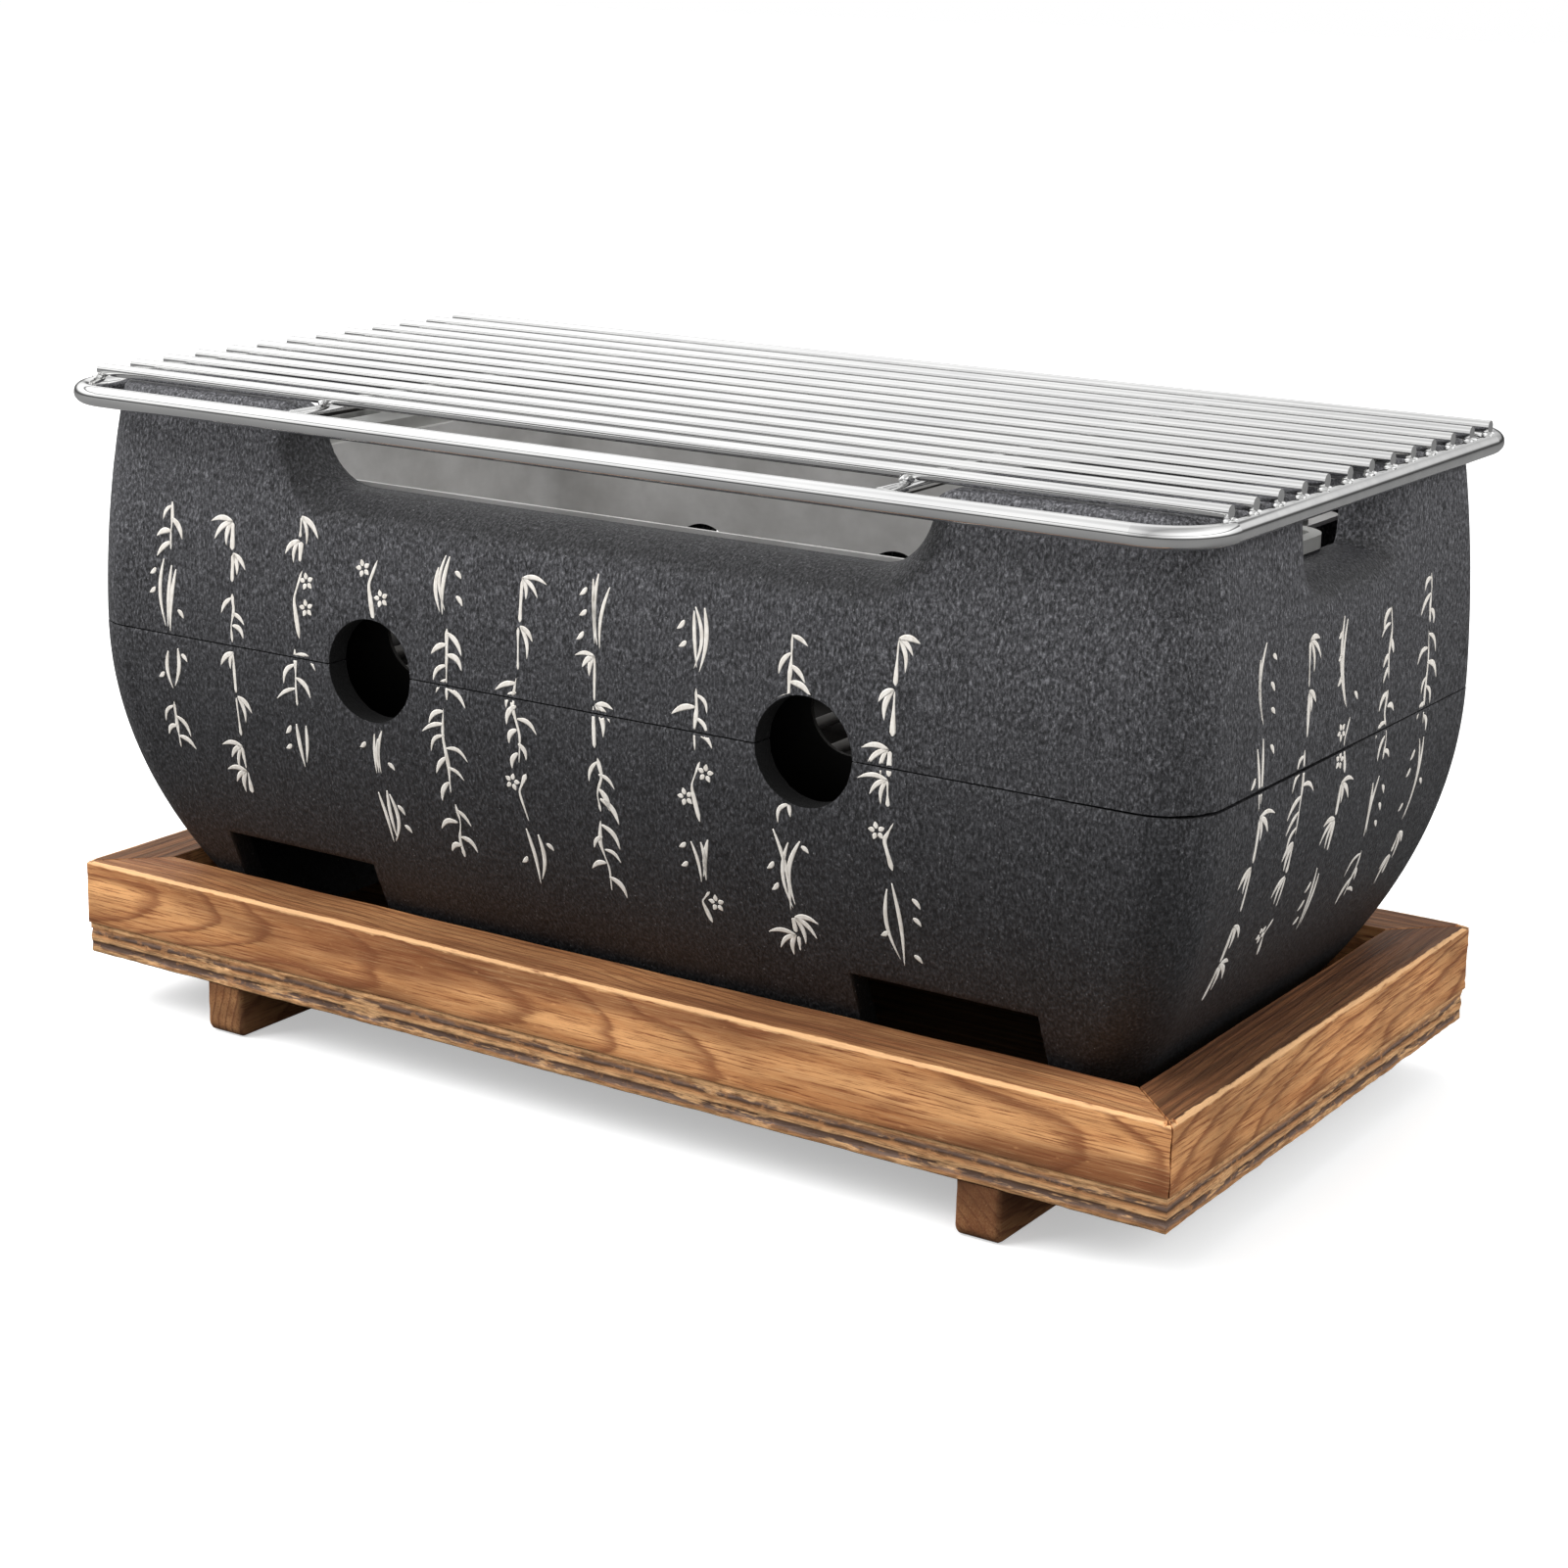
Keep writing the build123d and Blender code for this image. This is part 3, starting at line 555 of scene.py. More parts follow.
def pine(name, along, pith, lean, burn_top, seed, tint=1.0, burn=1.0):
    """Torched softwood: growth rings round a pith that leans slowly across the piece.

    along is 0 or 1 for a piece along X or Y; pith is where the tree's centre lies across it.
    """
    p = Paint(name, Metallic=0.0, Specular_IOR_Level=0.25)
    parts = p.split(p.scaled((1, 1, 1)))
    run, across, up = parts[along], parts[1 - along], parts[2]

    def stretched(run_scale, cross_scale, shift=0.0, **settings):
        """Noise drawn out along the grain."""
        spot = p.join(p.times_plus(run, run_scale, shift + seed), p.times(across, cross_scale),
                      p.times(up, cross_scale))
        return p.noise(spot, **settings)

    sway = p.plus(stretched(0.011, 0.012, detail=2.0), -0.5)
    lift = p.plus(stretched(0.016, 0.01, 40.0, detail=1.0), -0.5)
    wobble = stretched(0.045, 0.20, 11.0, detail=2.0)
    off_across = p.plus(p.plus(across, -pith[0]), p.times(run, lean))
    off_across = p.times_plus(sway, 14.0, off_across)
    off_up = p.times_plus(lift, 16.0, p.plus(up, -pith[1]))
    radius = p.distance(off_across, off_up)
    radius = p.times_plus(wobble, 1.3, radius)
    fibre = stretched(0.09, 2.6, 5.0, detail=4.0, rough=0.72)
    radius = p.times_plus(fibre, 0.55, radius)
    ring = p.math("FRACT", p.times(radius, 0.52))
    streak = stretched(0.02, 0.28, 23.0, detail=4.0, rough=0.62)
    band = stretched(0.010, 0.10, 61.0, detail=2.0)
    scorch = p.noise(p.scaled((0.018, 0.03, 0.05), shift=(seed * 3.1, 0, 0)), detail=4.0, rough=0.6)
    fleck = stretched(0.35, 1.2, 77.0, detail=2.0)
    early = (0.60 * tint, 0.265 * tint, 0.102 * tint)
    warm = (0.90 * tint, 0.47 * tint, 0.200 * tint)
    late = (0.24 * tint, 0.078 * tint, 0.032 * tint)
    brown = (0.23 * tint, 0.080 * tint, 0.033 * tint)
    pale = (0.98 * tint, 0.60 * tint, 0.30 * tint)
    worn_pale = (0.92 * tint, 0.56 * tint, 0.28 * tint)
    top_brown = (0.21 * tint, 0.088 * tint, 0.038 * tint)
    char, top_char, edge_char = (0.040, 0.018, 0.010), (0.02, 0.010, 0.006), (0.10, 0.045, 0.022)
    burnt_brown = (0.085, 0.034, 0.016)
    late_band = p.ramp(ring, (0.0, 0.2), (0.08, 0.0), (0.66, 0.0), (0.88, 1.0), (0.93, 1.0), (1.0, 0.2))
    color = p.mix(p.ramp(streak, (0.36, 0.0), (0.62, 1.0)), early, warm)
    color = p.mix(p.times(late_band, 0.74), color, late)
    color = p.mix(p.ramp(band, (0.47, 0.0), (0.60, 0.72)), color, brown)
    color = p.mix(p.ramp(fibre, (0.36, 0.92), (0.50, 0.0)), color, late)
    color = p.mix(p.ramp(fibre, (0.56, 0.0), (0.72, 0.45)), color, pale)
    color = p.mix(p.ramp(fleck, (0.66, 0.0), (0.74, 0.35)), color, warm)
    facing_up = p.ramp(p.facing()[2], (0.62, 0.0), (0.93, 1.0))
    lines = stretched(0.012, 0.95, 90.0, detail=3.0, rough=0.6)
    top_color = p.mix(p.ramp(lines, (0.42, 0.0), (0.62, 1.0)), char, top_brown)
    top_color = p.mix(p.ramp(fibre, (0.30, 0.7), (0.55, 0.0)), top_color, top_char)
    color = p.mix(p.times(facing_up, burn_top), color, top_color)
    burnt = p.ramp(p.times_plus(fibre, 0.16, scorch), (0.50, 0.0), (0.74, 0.9 * burn))
    color = p.mix(burnt, color, burnt_brown)
    level = p.times(p.plus(up, -float(BASE)), 1 / (RAIL_TOP - BASE))
    low_edge = p.ramp(p.times_plus(wobble, 0.12, level), (0.04, 0.55), (0.14, 0.0))
    color = p.mix(low_edge, color, edge_char)
    outer = (TRAY_Y, TRAY_X)[along]
    from_edge = p.distance(p.minus(outer, p.size(across)), p.minus(float(RAIL_TOP), up))
    from_edge = p.times_plus(fleck, -1.0, p.times_plus(streak, -0.7, from_edge))
    color = p.mix(p.ramp(from_edge, (0.0, 0.65), (0.22, 0.0)), color, worn_pale)
    height = p.plus(p.times(fibre, 0.9), p.times(late_band, 0.6))
    height = p.plus(height, p.times(p.times(lines, facing_up), 1.6))
    rough = p.ramp(fibre, (0.3, 0.72), (0.7, 0.5))
    return p.finish(color, rough, p.bump(height, 0.6, 0.16))


def plywood():
    """Torched plywood edge: rough plies, alternately dark and tan, with torn fibres."""
    p = Paint("charred_plywood", Metallic=0.0, Specular_IOR_Level=0.2)
    z = p.split(p.scaled((1, 1, 1)))[2]
    waver = p.noise(p.scaled((0.05, 0.05, 0.4)), detail=3.0)
    level = p.times(p.plus(z, -float(BOARD_BOTTOM)), 1 / BOARD_THICK)
    level = p.plus(level, p.times(p.plus(waver, -0.5), 0.16))
    tan, brown = (0.80, 0.47, 0.23), (0.50, 0.245, 0.105)
    grey, dark = (0.19, 0.13, 0.105), (0.075, 0.040, 0.025)
    plies = p.ramp(level, (0.0, tan), (0.10, brown), (0.19, grey), (0.36, dark), (0.41, tan), (0.56, brown),
                   (0.63, dark), (0.70, grey), (0.83, brown), (0.9, tan), (1.0, brown))
    fibre = p.noise(p.scaled((0.25, 0.25, 3.0)), detail=4.0, rough=0.75)
    chip = p.noise(p.scaled((0.10, 0.10, 0.7)), detail=4.0, rough=0.65)
    torn = p.noise(p.scaled((0.30, 0.30, 0.5), shift=(7, 3, 1)), detail=3.0, rough=0.7)
    color = p.mix(p.ramp(chip, (0.53, 0.0), (0.60, 0.85)), plies, tan)
    color = p.mix(p.ramp(torn, (0.55, 0.0), (0.64, 0.6)), color, brown)
    color = p.mix(p.ramp(fibre, (0.34, 0.70), (0.56, 0.0)), color, dark)
    face = p.ramp(p.size(p.facing()[2]), (0.6, 0.0), (0.9, 1.0))
    board = p.noise(p.scaled((0.02, 0.5, 0.5)), detail=4.0, rough=0.65)
    board_color = p.ramp(board, (0.3, (0.045, 0.024, 0.013)), (0.55, (0.17, 0.085, 0.038)),
                         (0.75, (0.30, 0.16, 0.075)))
    color = p.mix(face, color, board_color)
    return p.finish(color, p.ramp(fibre, (0.3, 0.85), (0.7, 0.6)), p.bump(fibre, 0.6, 0.18))


black = coating()
cream = ink()
polished = chrome()
liner_steel = sheet_steel("liner_sheet", (0.56, 0.55, 0.535), (0.82, 0.81, 0.80), 0.48, 0.62, trough_shade=True)
tab_steel = sheet_steel("tab_plate", (0.34, 0.34, 0.33), (0.56, 0.56, 0.54), 0.30, 0.45)
zinc = sheet_steel("zinc_plate", (0.30, 0.30, 0.31), (0.50, 0.50, 0.51), 0.28, 0.42)
rack_steel = sheet_steel("rack_wire", (0.035, 0.033, 0.031), (0.12, 0.115, 0.11), 0.42, 0.6)
front_pine = pine("pine_front", 0, (-83.0, 24.0), 0.06, 0.55, 1, 1.0, 0.5)
back_pine = pine("pine_back", 0, (84.0, 20.0), -0.05, 0.80, 5, 0.90, 0.6)
right_pine = pine("pine_right", 1, (150.0, 16.0), 0.07, 0.90, 9, 0.92, 0.6)
left_pine = pine("pine_left", 1, (-150.0, 26.0), 0.07, 0.90, 14, 0.90, 0.6)
foot_pine = pine("pine_feet", 1, (60.0, -22.0), 0.02, 0.3, 21, 1.0, 0.8)
board_ply = plywood()


# ================ camera, floor and light
EYE, TARGET = (331.5, -502.3, 220.3), (3.87, 0.7, 53.7)
ROLL = 1.08
LENS, SENSOR = 71.42, 36.0


def add_camera():
    """The photograph's camera, solved from the tray and the wires."""
    data = bpy.data.cameras.new("camera")
    data.lens = LENS
    data.sensor_width = SENSOR
    data.clip_start = 0.01
    camera = bpy.data.objects.new("camera", data)
    bpy.context.scene.collection.objects.link(camera)
    eye, target = Vector(EYE) * MM, Vector(TARGET) * MM
    aim = (target - eye).to_track_quat("-Z", "Y").to_matrix().to_4x4()
    camera.matrix_world = Matrix.Translation(eye) @ aim @ Matrix.Rotation(math.radians(ROLL), 4, "Z")
    bpy.context.scene.camera = camera


def add_light(name, spot, aim, size, power):
    """A soft area light that mirrors don't show."""
    data = bpy.data.lights.new(name, "AREA")
    data.shape = "RECTANGLE"
    data.size, data.size_y = size
    data.energy = power
    light = bpy.data.objects.new(name, data)
    bpy.context.scene.collection.objects.link(light)
    light.location = spot
    light.visible_glossy = False
    light.rotation_euler = (Vector(aim) - Vector(spot)).to_track_quat("-Z", "Y").to_euler()


# The sky's brightness by the height of the direction, with a dark line for the wires to mirror.
SKY = ((0.0, 0.05), (0.10, 0.14), (0.18, 0.66), (0.42, 0.95), (0.455, 0.20), (0.485, 0.20), (0.52, 0.98),
       (0.80, 1.0), (0.92, 0.72))
SKY_FRONT, SKY_SIDES = 0.57, 1.05


def add_stage():
    """A plain pale floor under a soft studio sky, bright above and dim at the horizon.

    The camera sees both as white. The floor throws little light up, and the wires mirror a dim one.
    """
    half = 6.0
    verts = [(-half, -half, 0), (half, -half, 0), (half, half, 0), (-half, half, 0)]
    mesh = bpy.data.meshes.new("floor")
    mesh.from_pydata(verts, [], [(0, 1, 2, 3)])
    floor = bpy.data.objects.new("floor", mesh)
    bpy.context.scene.collection.objects.link(floor)
    p = Paint("floor_paint", Roughness=0.9, Base_Color=(0.70, 0.70, 0.70, 1),
              Emission_Color=(1, 1, 1, 1), Emission_Strength=0.42)
    seen_floor = p.shader.outputs[0]
    dim_floor = p.node("ShaderNodeBsdfDiffuse", {"Color": (0.07, 0.07, 0.07, 1)}).outputs[0]
    mirrored = p.node("ShaderNodeBsdfDiffuse", {"Color": (0.14, 0.14, 0.14, 1)}).outputs[0]
    rays = p.node("ShaderNodeLightPath").outputs
    unseen = p.node("ShaderNodeMixShader", {0: rays["Is Glossy Ray"], 1: dim_floor, 2: mirrored}).outputs[0]
    blend = p.node("ShaderNodeMixShader", {0: rays["Is Camera Ray"], 1: unseen, 2: seen_floor})
    p.tree.links.new(blend.outputs[0], p.tree.nodes["Material Output"].inputs[0])
    mesh.materials.append(p.material)
    world = bpy.data.worlds.new("studio")
    bpy.context.scene.world = world
    world.use_nodes = True
    tree = world.node_tree
    sky = tree.nodes["Background"]
    direction = tree.nodes.new("ShaderNodeSeparateXYZ")
    tree.links.new(tree.nodes.new("ShaderNodeTexCoord").outputs["Generated"], direction.inputs[0])
    ramp = tree.nodes.new("ShaderNodeValToRGB")
    set_stops(ramp.color_ramp, SKY)
    tree.links.new(direction.outputs[2], ramp.inputs[0])
    tree.links.new(ramp.outputs[0], sky.inputs["Color"])
    sideways = tree.nodes.new("ShaderNodeMath")
    sideways.operation = "ABSOLUTE"
    tree.links.new(direction.outputs[0], sideways.inputs[0])
    strength = tree.nodes.new("ShaderNodeMath")
    strength.operation = "MULTIPLY_ADD"
    tree.links.new(sideways.outputs[0], strength.inputs[0])
    strength.inputs[1].default_value = SKY_SIDES
    strength.inputs[2].default_value = SKY_FRONT
    tree.links.new(strength.outputs[0], sky.inputs["Strength"])
    backdrop = tree.nodes.new("ShaderNodeBackground")
    backdrop.inputs["Color"].default_value = (1, 1, 1, 1)
    ray = tree.nodes.new("ShaderNodeLightPath")
    mix = tree.nodes.new("ShaderNodeMixShader")
    for value, socket in ((ray.outputs["Is Camera Ray"], 0), (sky.outputs[0], 1), (backdrop.outputs[0], 2)):
        tree.links.new(value, mix.inputs[socket])
    tree.links.new(mix.outputs[0], tree.nodes["World Output"].inputs[0])
    add_light("side", (1.35, 0.5, 0.80), (0, 0, 0.07), (1.0, 0.9), 12.0)
    add_light("top", (-0.3, -0.1, 1.3), (0, 0, 0.05), (1.8, 1.3), 12.5)
    add_light("front", (-1.15, -1.0, 1.1), (0, 0, 0.06), (1.3, 1.0), 31.0)
    bpy.context.scene.view_settings.view_transform = "Standard"


add_camera()
add_stage()

# ================ castings
CASTING_STEP, CASTING_MARGIN = 1.0, 2.3
reach_x, reach_y = HALF_LENGTH + CASTING_MARGIN, HALF_DEPTH + CASTING_MARGIN
castings = ("upper", upper_casting, SEAM, RIM), ("lower", lower_casting, BASE, SEAM)
for half, field, low_z, high_z in castings:
    corners = (-reach_x, -reach_y, low_z - CASTING_MARGIN), (reach_x, reach_y, high_z + CASTING_MARGIN)
    verts, quads = surface(field, *corners, CASTING_STEP)
    mesh_piece("casting_" + half, verts, quads, black, "firebox", "black_casting",
               "firebox_" + half, keep=0.5)


# ================ tray wood
def worn(x, y, z, seed, size):
    """Small unevenness that follows the grain: softer along the piece, finer across it."""
    broad = noise(x / 21.0, y / 21.0, z / 9.0, seed) * 0.10
    return size * (broad + noise(x / 5.5, y / 5.5, z / 2.2, seed + 7) * 0.07)


RAIL_ROLL, EDGE_WEAR, MITRE_GAP = 0.45, 1.1, 0.006


def rail_field(along, sign, seed):
    """One mitred rail on the board, its outer face at sign * half the tray along the other axis."""
    outer = (TRAY_Y, TRAY_X)[along]
    far = (TRAY_X, TRAY_Y)[along]

    def field(x, y, z):
        run, across = ((x, y), (y, x))[along]
        depth = outer - sign * across
        centre_up = (RAIL_TOP + BASE) / 2
        bar = rounded_box(depth - RAIL_WIDTH / 2, z - centre_up, RAIL_WIDTH / 2,
                          (RAIL_TOP - BASE) / 2, RAIL_ROLL)
        wear = noise(run / 14.0, z / 30.0, 0 * z, seed) * 0.35 + 0.45
        top_edge = np.hypot(np.maximum(EDGE_WEAR - depth, 0), np.maximum(z - RAIL_TOP + EDGE_WEAR, 0))
        bar = np.maximum(bar, top_edge - EDGE_WEAR + 0.22 * wear)
        mitre = (np.abs(run) + depth - far) / math.sqrt(2)
        solid = np.maximum(bar, mitre + MITRE_GAP)
        chip = np.hypot(far - np.abs(run) - 1.5, z - RAIL_TOP) - 1.1
        chip = np.maximum(chip, depth - 3.0) + 0.6 * noise(run * 0.9, z * 1.1, depth * 0.8, seed + 3)
        solid = np.maximum(solid, -chip - 0.45)
        grain = worn(run * 0.25, depth, z, seed, 1.0)
        return solid + 0.10 + grain

    return field


def board_field(x, y, z):
    """The plywood board: its edge steps in and out from ply to ply."""
    half_x, half_y = board_high[0], board_high[1]
    plan = rounded_box(x, y, half_x, half_y, 0.6)
    level = (z - BOARD_BOTTOM) / (BASE - BOARD_BOTTOM) + 0.03 * noise(x / 25.0, y / 25.0, 0 * z, 31)
    ply = np.floor(np.clip(level, 0, 0.999) * 5)
    step = 0.16 * np.where(ply % 2 == 1, 1.0, -0.2)
    torn = 0.16 * noise(x / 6.0 + 9 * ply, y / 6.0, ply * 3.7, 33)
    torn = torn + 0.10 * noise(x / 1.9, y / 1.9, ply * 5.1, 35)
    edge = plan + 0.22 + step + torn
    flat = np.maximum(BOARD_BOTTOM + 0.02 - z, z - BASE + 0.05)
    return meet(edge, flat, 0.35)


FOOT_NAIL_Y, NAIL_HOLE_R, NAIL_HOLE_DEPTH = 45.0, 2.0, 3.75


def foot_field(centre, seed):
    """One foot, with the two seats for its nail heads."""
    half_y = foot_high[1]
    half_x = (foot_high[0] - foot_low[0]) / 2

    def field(x, y, z):
        profile = rounded_box(y, z - BOARD_BOTTOM, half_y, BOARD_BOTTOM, 2.2)
        sides = np.abs(x - centre) - half_x
        solid = meet(meet(profile, sides, 1.2), z - BOARD_BOTTOM + 0.04, 0.3)
        hole = np.hypot(x - centre, np.abs(y) - FOOT_NAIL_Y) - NAIL_HOLE_R
        solid = np.maximum(solid, -np.maximum(hole, z - NAIL_HOLE_DEPTH))
        grain = np.clip(worn(x, y * 0.25, z, seed, 0.9) + 0.08, 0, 1)
        return solid + grain * smooth_step(z / 1.2)

    return field


WOOD_STEP, BOARD_STEP = 0.62, 0.72
MARGIN = 1.3
rails = {"front": (0, -1, front_pine, 11), "back": (0, 1, back_pine, 12),
         "left": (1, -1, left_pine, 13), "right": (1, 1, right_pine, 14)}


def wood_piece(name, node, field, step, material, slot, **options):
    """A wooden piece in place of one CAD node, kept inside that node's box."""
    low, high = box_mm(node)
    verts, quads = surface(field, low - MARGIN, high + MARGIN, step)
    mesh_piece(name, np.clip(verts, low, high), quads, material, "tray", slot, node, **options)


for side, (along, sign, material, seed) in rails.items():
    wood_piece("rail_" + side, "tray_rail_" + side, rail_field(along, sign, seed), WOOD_STEP,
               material, "charred_pine", keep=0.6)
wood_piece("plywood_base", "tray_board", board_field, BOARD_STEP, board_ply, "charred_plywood",
           sharp=50.0, keep=0.35)
for side, sign in (("left", -1), ("right", 1)):
    low, high = box_mm("tray_foot_" + side)
    foot = foot_field((low[0] + high[0]) / 2, 40 + sign)
    wood_piece("foot_" + side, "tray_foot_" + side, foot, WOOD_STEP, foot_pine, "charred_pine")

# ================ weld marks on the grate
def blob(centre, radii, turn, seed, rings=10, sides=16, rough=0.16):
    """A closed uneven bead of weld metal."""
    rng = np.random.default_rng(seed)
    phase = rng.uniform(0, 6.28, 6)
    verts, faces = [], []
    for i in range(rings + 1):
        polar = math.pi * i / rings
        for j in range(sides if 0 < i < rings else 1):
            around = 2 * math.pi * j / sides
            swell = 1 + rough * (math.sin(3 * around + phase[0]) * math.sin(2 * polar + phase[1])
                                 + 0.6 * math.sin(5 * around + phase[2] + 2 * polar))
            v = Vector((math.sin(polar) * math.cos(around) * radii[0] * swell,
                        math.sin(polar) * math.sin(around) * radii[1] * swell,
                        math.cos(polar) * radii[2]))
            verts.append(Matrix.Rotation(turn, 3, "Z") @ v + Vector(centre))

    def at(i, j):
        """The vertex at ring i and side j; the first and last rings are one point."""
        if i == 0:
            return 0
        if i == rings:
            return len(verts) - 1
        return 1 + (i - 1) * sides + j % sides

    for i in range(rings):
        for j in range(sides):
            quad = [at(i, j), at(i + 1, j), at(i + 1, j + 1), at(i, j + 1)]
            faces.append([v for k, v in enumerate(quad) if v not in quad[:k]])
    return verts, faces


def add_faces(name, parts, material, body):
    """One smooth piece from several small closed meshes."""
    verts, faces = [], []
    for part_verts, part_faces in parts:
        faces += [[v + len(verts) for v in face] for face in part_faces]
        verts += [Vector(v) * MM for v in part_verts]
    mesh = bpy.data.meshes.new(name)
    mesh.from_pydata(verts, [], faces)
    mesh.validate()
    mesh.shade_smooth()
    mesh.materials.append(material)
    piece = bpy.data.objects.new(name, mesh)
    bpy.context.scene.collection.objects.link(piece)
    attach(piece, body)


weld_parts = []
rng = np.random.default_rng(5)
FROM_BAR = 0.95
for index in range(BAR_COUNT):
    bar_y = (index - BAR_COUNT // 2) * BAR_PITCH
    for sign in (-1, 1):
        for side, long, wide, high in ((-1, 1.15, 0.75, 0.62), (1, 0.75, 0.42, 0.5)):
            end_x = sign * (BAR_END - 0.2 + rng.uniform(-0.2, 0.2))
            spot = (end_x, bar_y + side * FROM_BAR, FRAME_HIGH[2] - 0.15)
            size = (long + rng.uniform(-0.1, 0.15), wide + rng.uniform(-0.08, 0.08), high)
            seed = 100 + index * 4 + side + sign
            weld_parts.append(blob(spot, size, 0.4 * sign * side, seed, rough=0.12))
for sign_x in (-1, 1):
    cross = sign_x * CROSS_X
    for sign_y in (-1, 1):
        seed = sign_x + 2 * sign_y
        disc = (cross, sign_y * (RING_Y - 1.9), RING_Z + 1.0)
        weld_parts.append(blob(disc, (3.6, 2.3, 0.75), 0.25 * sign_x, 300 + seed, 10, 20, 0.05))
        bead = (cross, sign_y * (BAR_COUNT // 2 * BAR_PITCH + 1.0), BAR_TOP - 2.3)
        weld_parts.append(blob(bead, (1.5, 0.9, 0.8), 0.9 * sign_x, 320 + seed, rough=0.3))
    for index in range(1, BAR_COUNT - 1):
        bead = (cross, (index - BAR_COUNT // 2) * BAR_PITCH, BAR_TOP - 2.5)
        weld_parts.append(blob(bead, (1.25, 1.1, 0.35), 0.0, 340 + index + sign_x, rough=0.12))
add_faces("grate_welds", weld_parts, polished, "cooking_grate")


# ================ printed marks
def leaf(start, end, width, curve, count=20):
    """Centre points and half widths of one brush stroke: a pointed leaf or a blunt dab."""
    start, end = np.array(start, float), np.array(end, float)
    along = end - start
    side = np.array([-along[1], along[0]])
    t = np.linspace(0, 1, count)[:, None]
    centre = start + along * t + side * curve * np.sin(math.pi * t)
    half = width * np.sin(math.pi * np.clip(t[:, 0] * 0.94 + 0.04, 0, 1)) ** 0.75 * (1.15 - 0.5 * t[:, 0])
    return centre, half


def stem(points, width, rng, count=44):
    """A thin line through points that swells and eases along its way."""
    points = np.array(points, float)
    t = np.linspace(0, len(points) - 1, count)
    centre = np.stack([np.interp(t, range(len(points)), points[:, i]) for i in (0, 1)], 1)
    kernel = np.ones(7) / 7
    for i in (0, 1):
        padded = np.concatenate([np.full(3, centre[0, i]), centre[:, i], np.full(3, centre[-1, i])])
        centre[:, i] = np.convolve(padded, kernel, "valid")
    swell = 0.75 + 0.35 * np.sin(t * 2.1 + rng.uniform(0, 6)) + 0.2 * np.sin(t * 5.3 + rng.uniform(0, 6))
    taper = np.minimum(1, np.minimum(np.arange(count), np.arange(count)[::-1]) / 5 + 0.15)
    return centre, width * np.clip(swell, 0.35, 1.4) * taper


def leafy(top, bottom, x, rng):
    """A drooping twig: a wavering stem with slim leaves to either side."""
    bend = rng.uniform(-1.2, 1.2)
    bends = (x + bend, (top * 2 + bottom) / 3), (x - bend * 0.6, (top + bottom * 2) / 3)
    strokes = [stem([(x, top), *bends, (x, bottom)], 0.36, rng)]
    level, side = top - rng.uniform(0.6, 1.4), rng.choice((-1, 1))
    while level > bottom + 1.0:
        length, drop = rng.uniform(3.2, 6.0), rng.uniform(0.35, 1.15)
        where = x + side * 0.1
        end = (where + side * length * math.cos(drop), level - length * math.sin(drop))
        strokes.append(leaf((where, level), end, rng.uniform(0.40, 0.66), side * rng.uniform(0.08, 0.24)))
        level -= rng.uniform(1.7, 3.1)
        side = -side if rng.random() < 0.8 else side
    return strokes


def bamboo(top, bottom, x, rng):
    """A jointed cane with fans of two or three leaves hanging from its joints."""
    strokes = []
    joints = np.linspace(top, bottom, max(2, int((top - bottom) / 6.5)) + 1)
    for upper, lower in zip(joints[:-1], joints[1:]):
        shift = rng.uniform(-0.4, 0.4)
        strokes.append(stem([(x + shift, upper - 0.35), (x + shift * 0.4, lower + 0.35)], 0.48, rng))
        side = rng.choice((-1, 1))
        for spread in (0.30, 0.85, 1.45)[:rng.integers(2, 4)]:
            length = rng.uniform(3.8, 6.4)
            end = (x + side * length * math.sin(spread), upper - length * math.cos(spread))
            strokes.append(leaf((x + side * 0.2, upper - 0.2), end, rng.uniform(0.42, 0.64), side * 0.12))
    return strokes


def reeds(top, bottom, x, rng):
    """Two or three long blades that sway together, with a few loose dabs beside them."""
    strokes = []
    for offset in (-1.3, 0.2, 1.6)[:rng.integers(2, 4)]:
        lean = rng.uniform(-1.5, 1.5)
        start = (x + offset + lean, top - rng.uniform(0, 3))
        end = (x + offset * 0.4, bottom + rng.uniform(0, 1.5))
        strokes.append(leaf(start, end, rng.uniform(0.36, 0.52), rng.uniform(-0.16, 0.16), 40))
    for level in np.arange(top - 3, bottom + 2, -rng.uniform(3.2, 4.6)):
        side = rng.choice((-1, 1))
        spot = (x + side * rng.uniform(2.4, 3.4), level)
        strokes.append(leaf(spot, (spot[0] + side * 1.5, level - rng.uniform(1.0, 1.9)), 0.5, 0.1, 14))
    return strokes


def blossom(top, bottom, x, rng):
    """A spray of rounded petals on a hooked stalk."""
    strokes = [stem([(x + 1.2, top), (x - 0.9, (top + bottom) / 2 + 1), (x + 0.6, bottom)], 0.42, rng)]
    for level in np.arange(top - 2.2, bottom + 2.5, -5.2):
        side = rng.choice((-1, 1))
        centre = np.array([x + side * 2.3, level])
        first = rng.uniform(0, 1.2)
        for turn in first + np.arange(5) * 2 * math.pi / 5:
            way = np.array([math.cos(turn), math.sin(turn)])
            strokes.append(leaf(centre + way * 0.45, centre + way * 1.75, 0.52, 0.0, 12))
    return strokes


def sprig(x, top, bottom, rng):
    """One column of the pattern: plant motifs of uneven height, one under the other."""
    strokes, level = [], top
    makers = (leafy, bamboo, reeds, leafy, blossom)
    while level - bottom > 6.0:
        height = min(rng.uniform(9.0, 19.0), level - bottom)
        maker = makers[rng.integers(0, len(makers))]
        strokes += maker(level, level - height, x + rng.uniform(-0.8, 0.8), rng)
        level -= height + rng.uniform(0.8, 2.4)
    return strokes


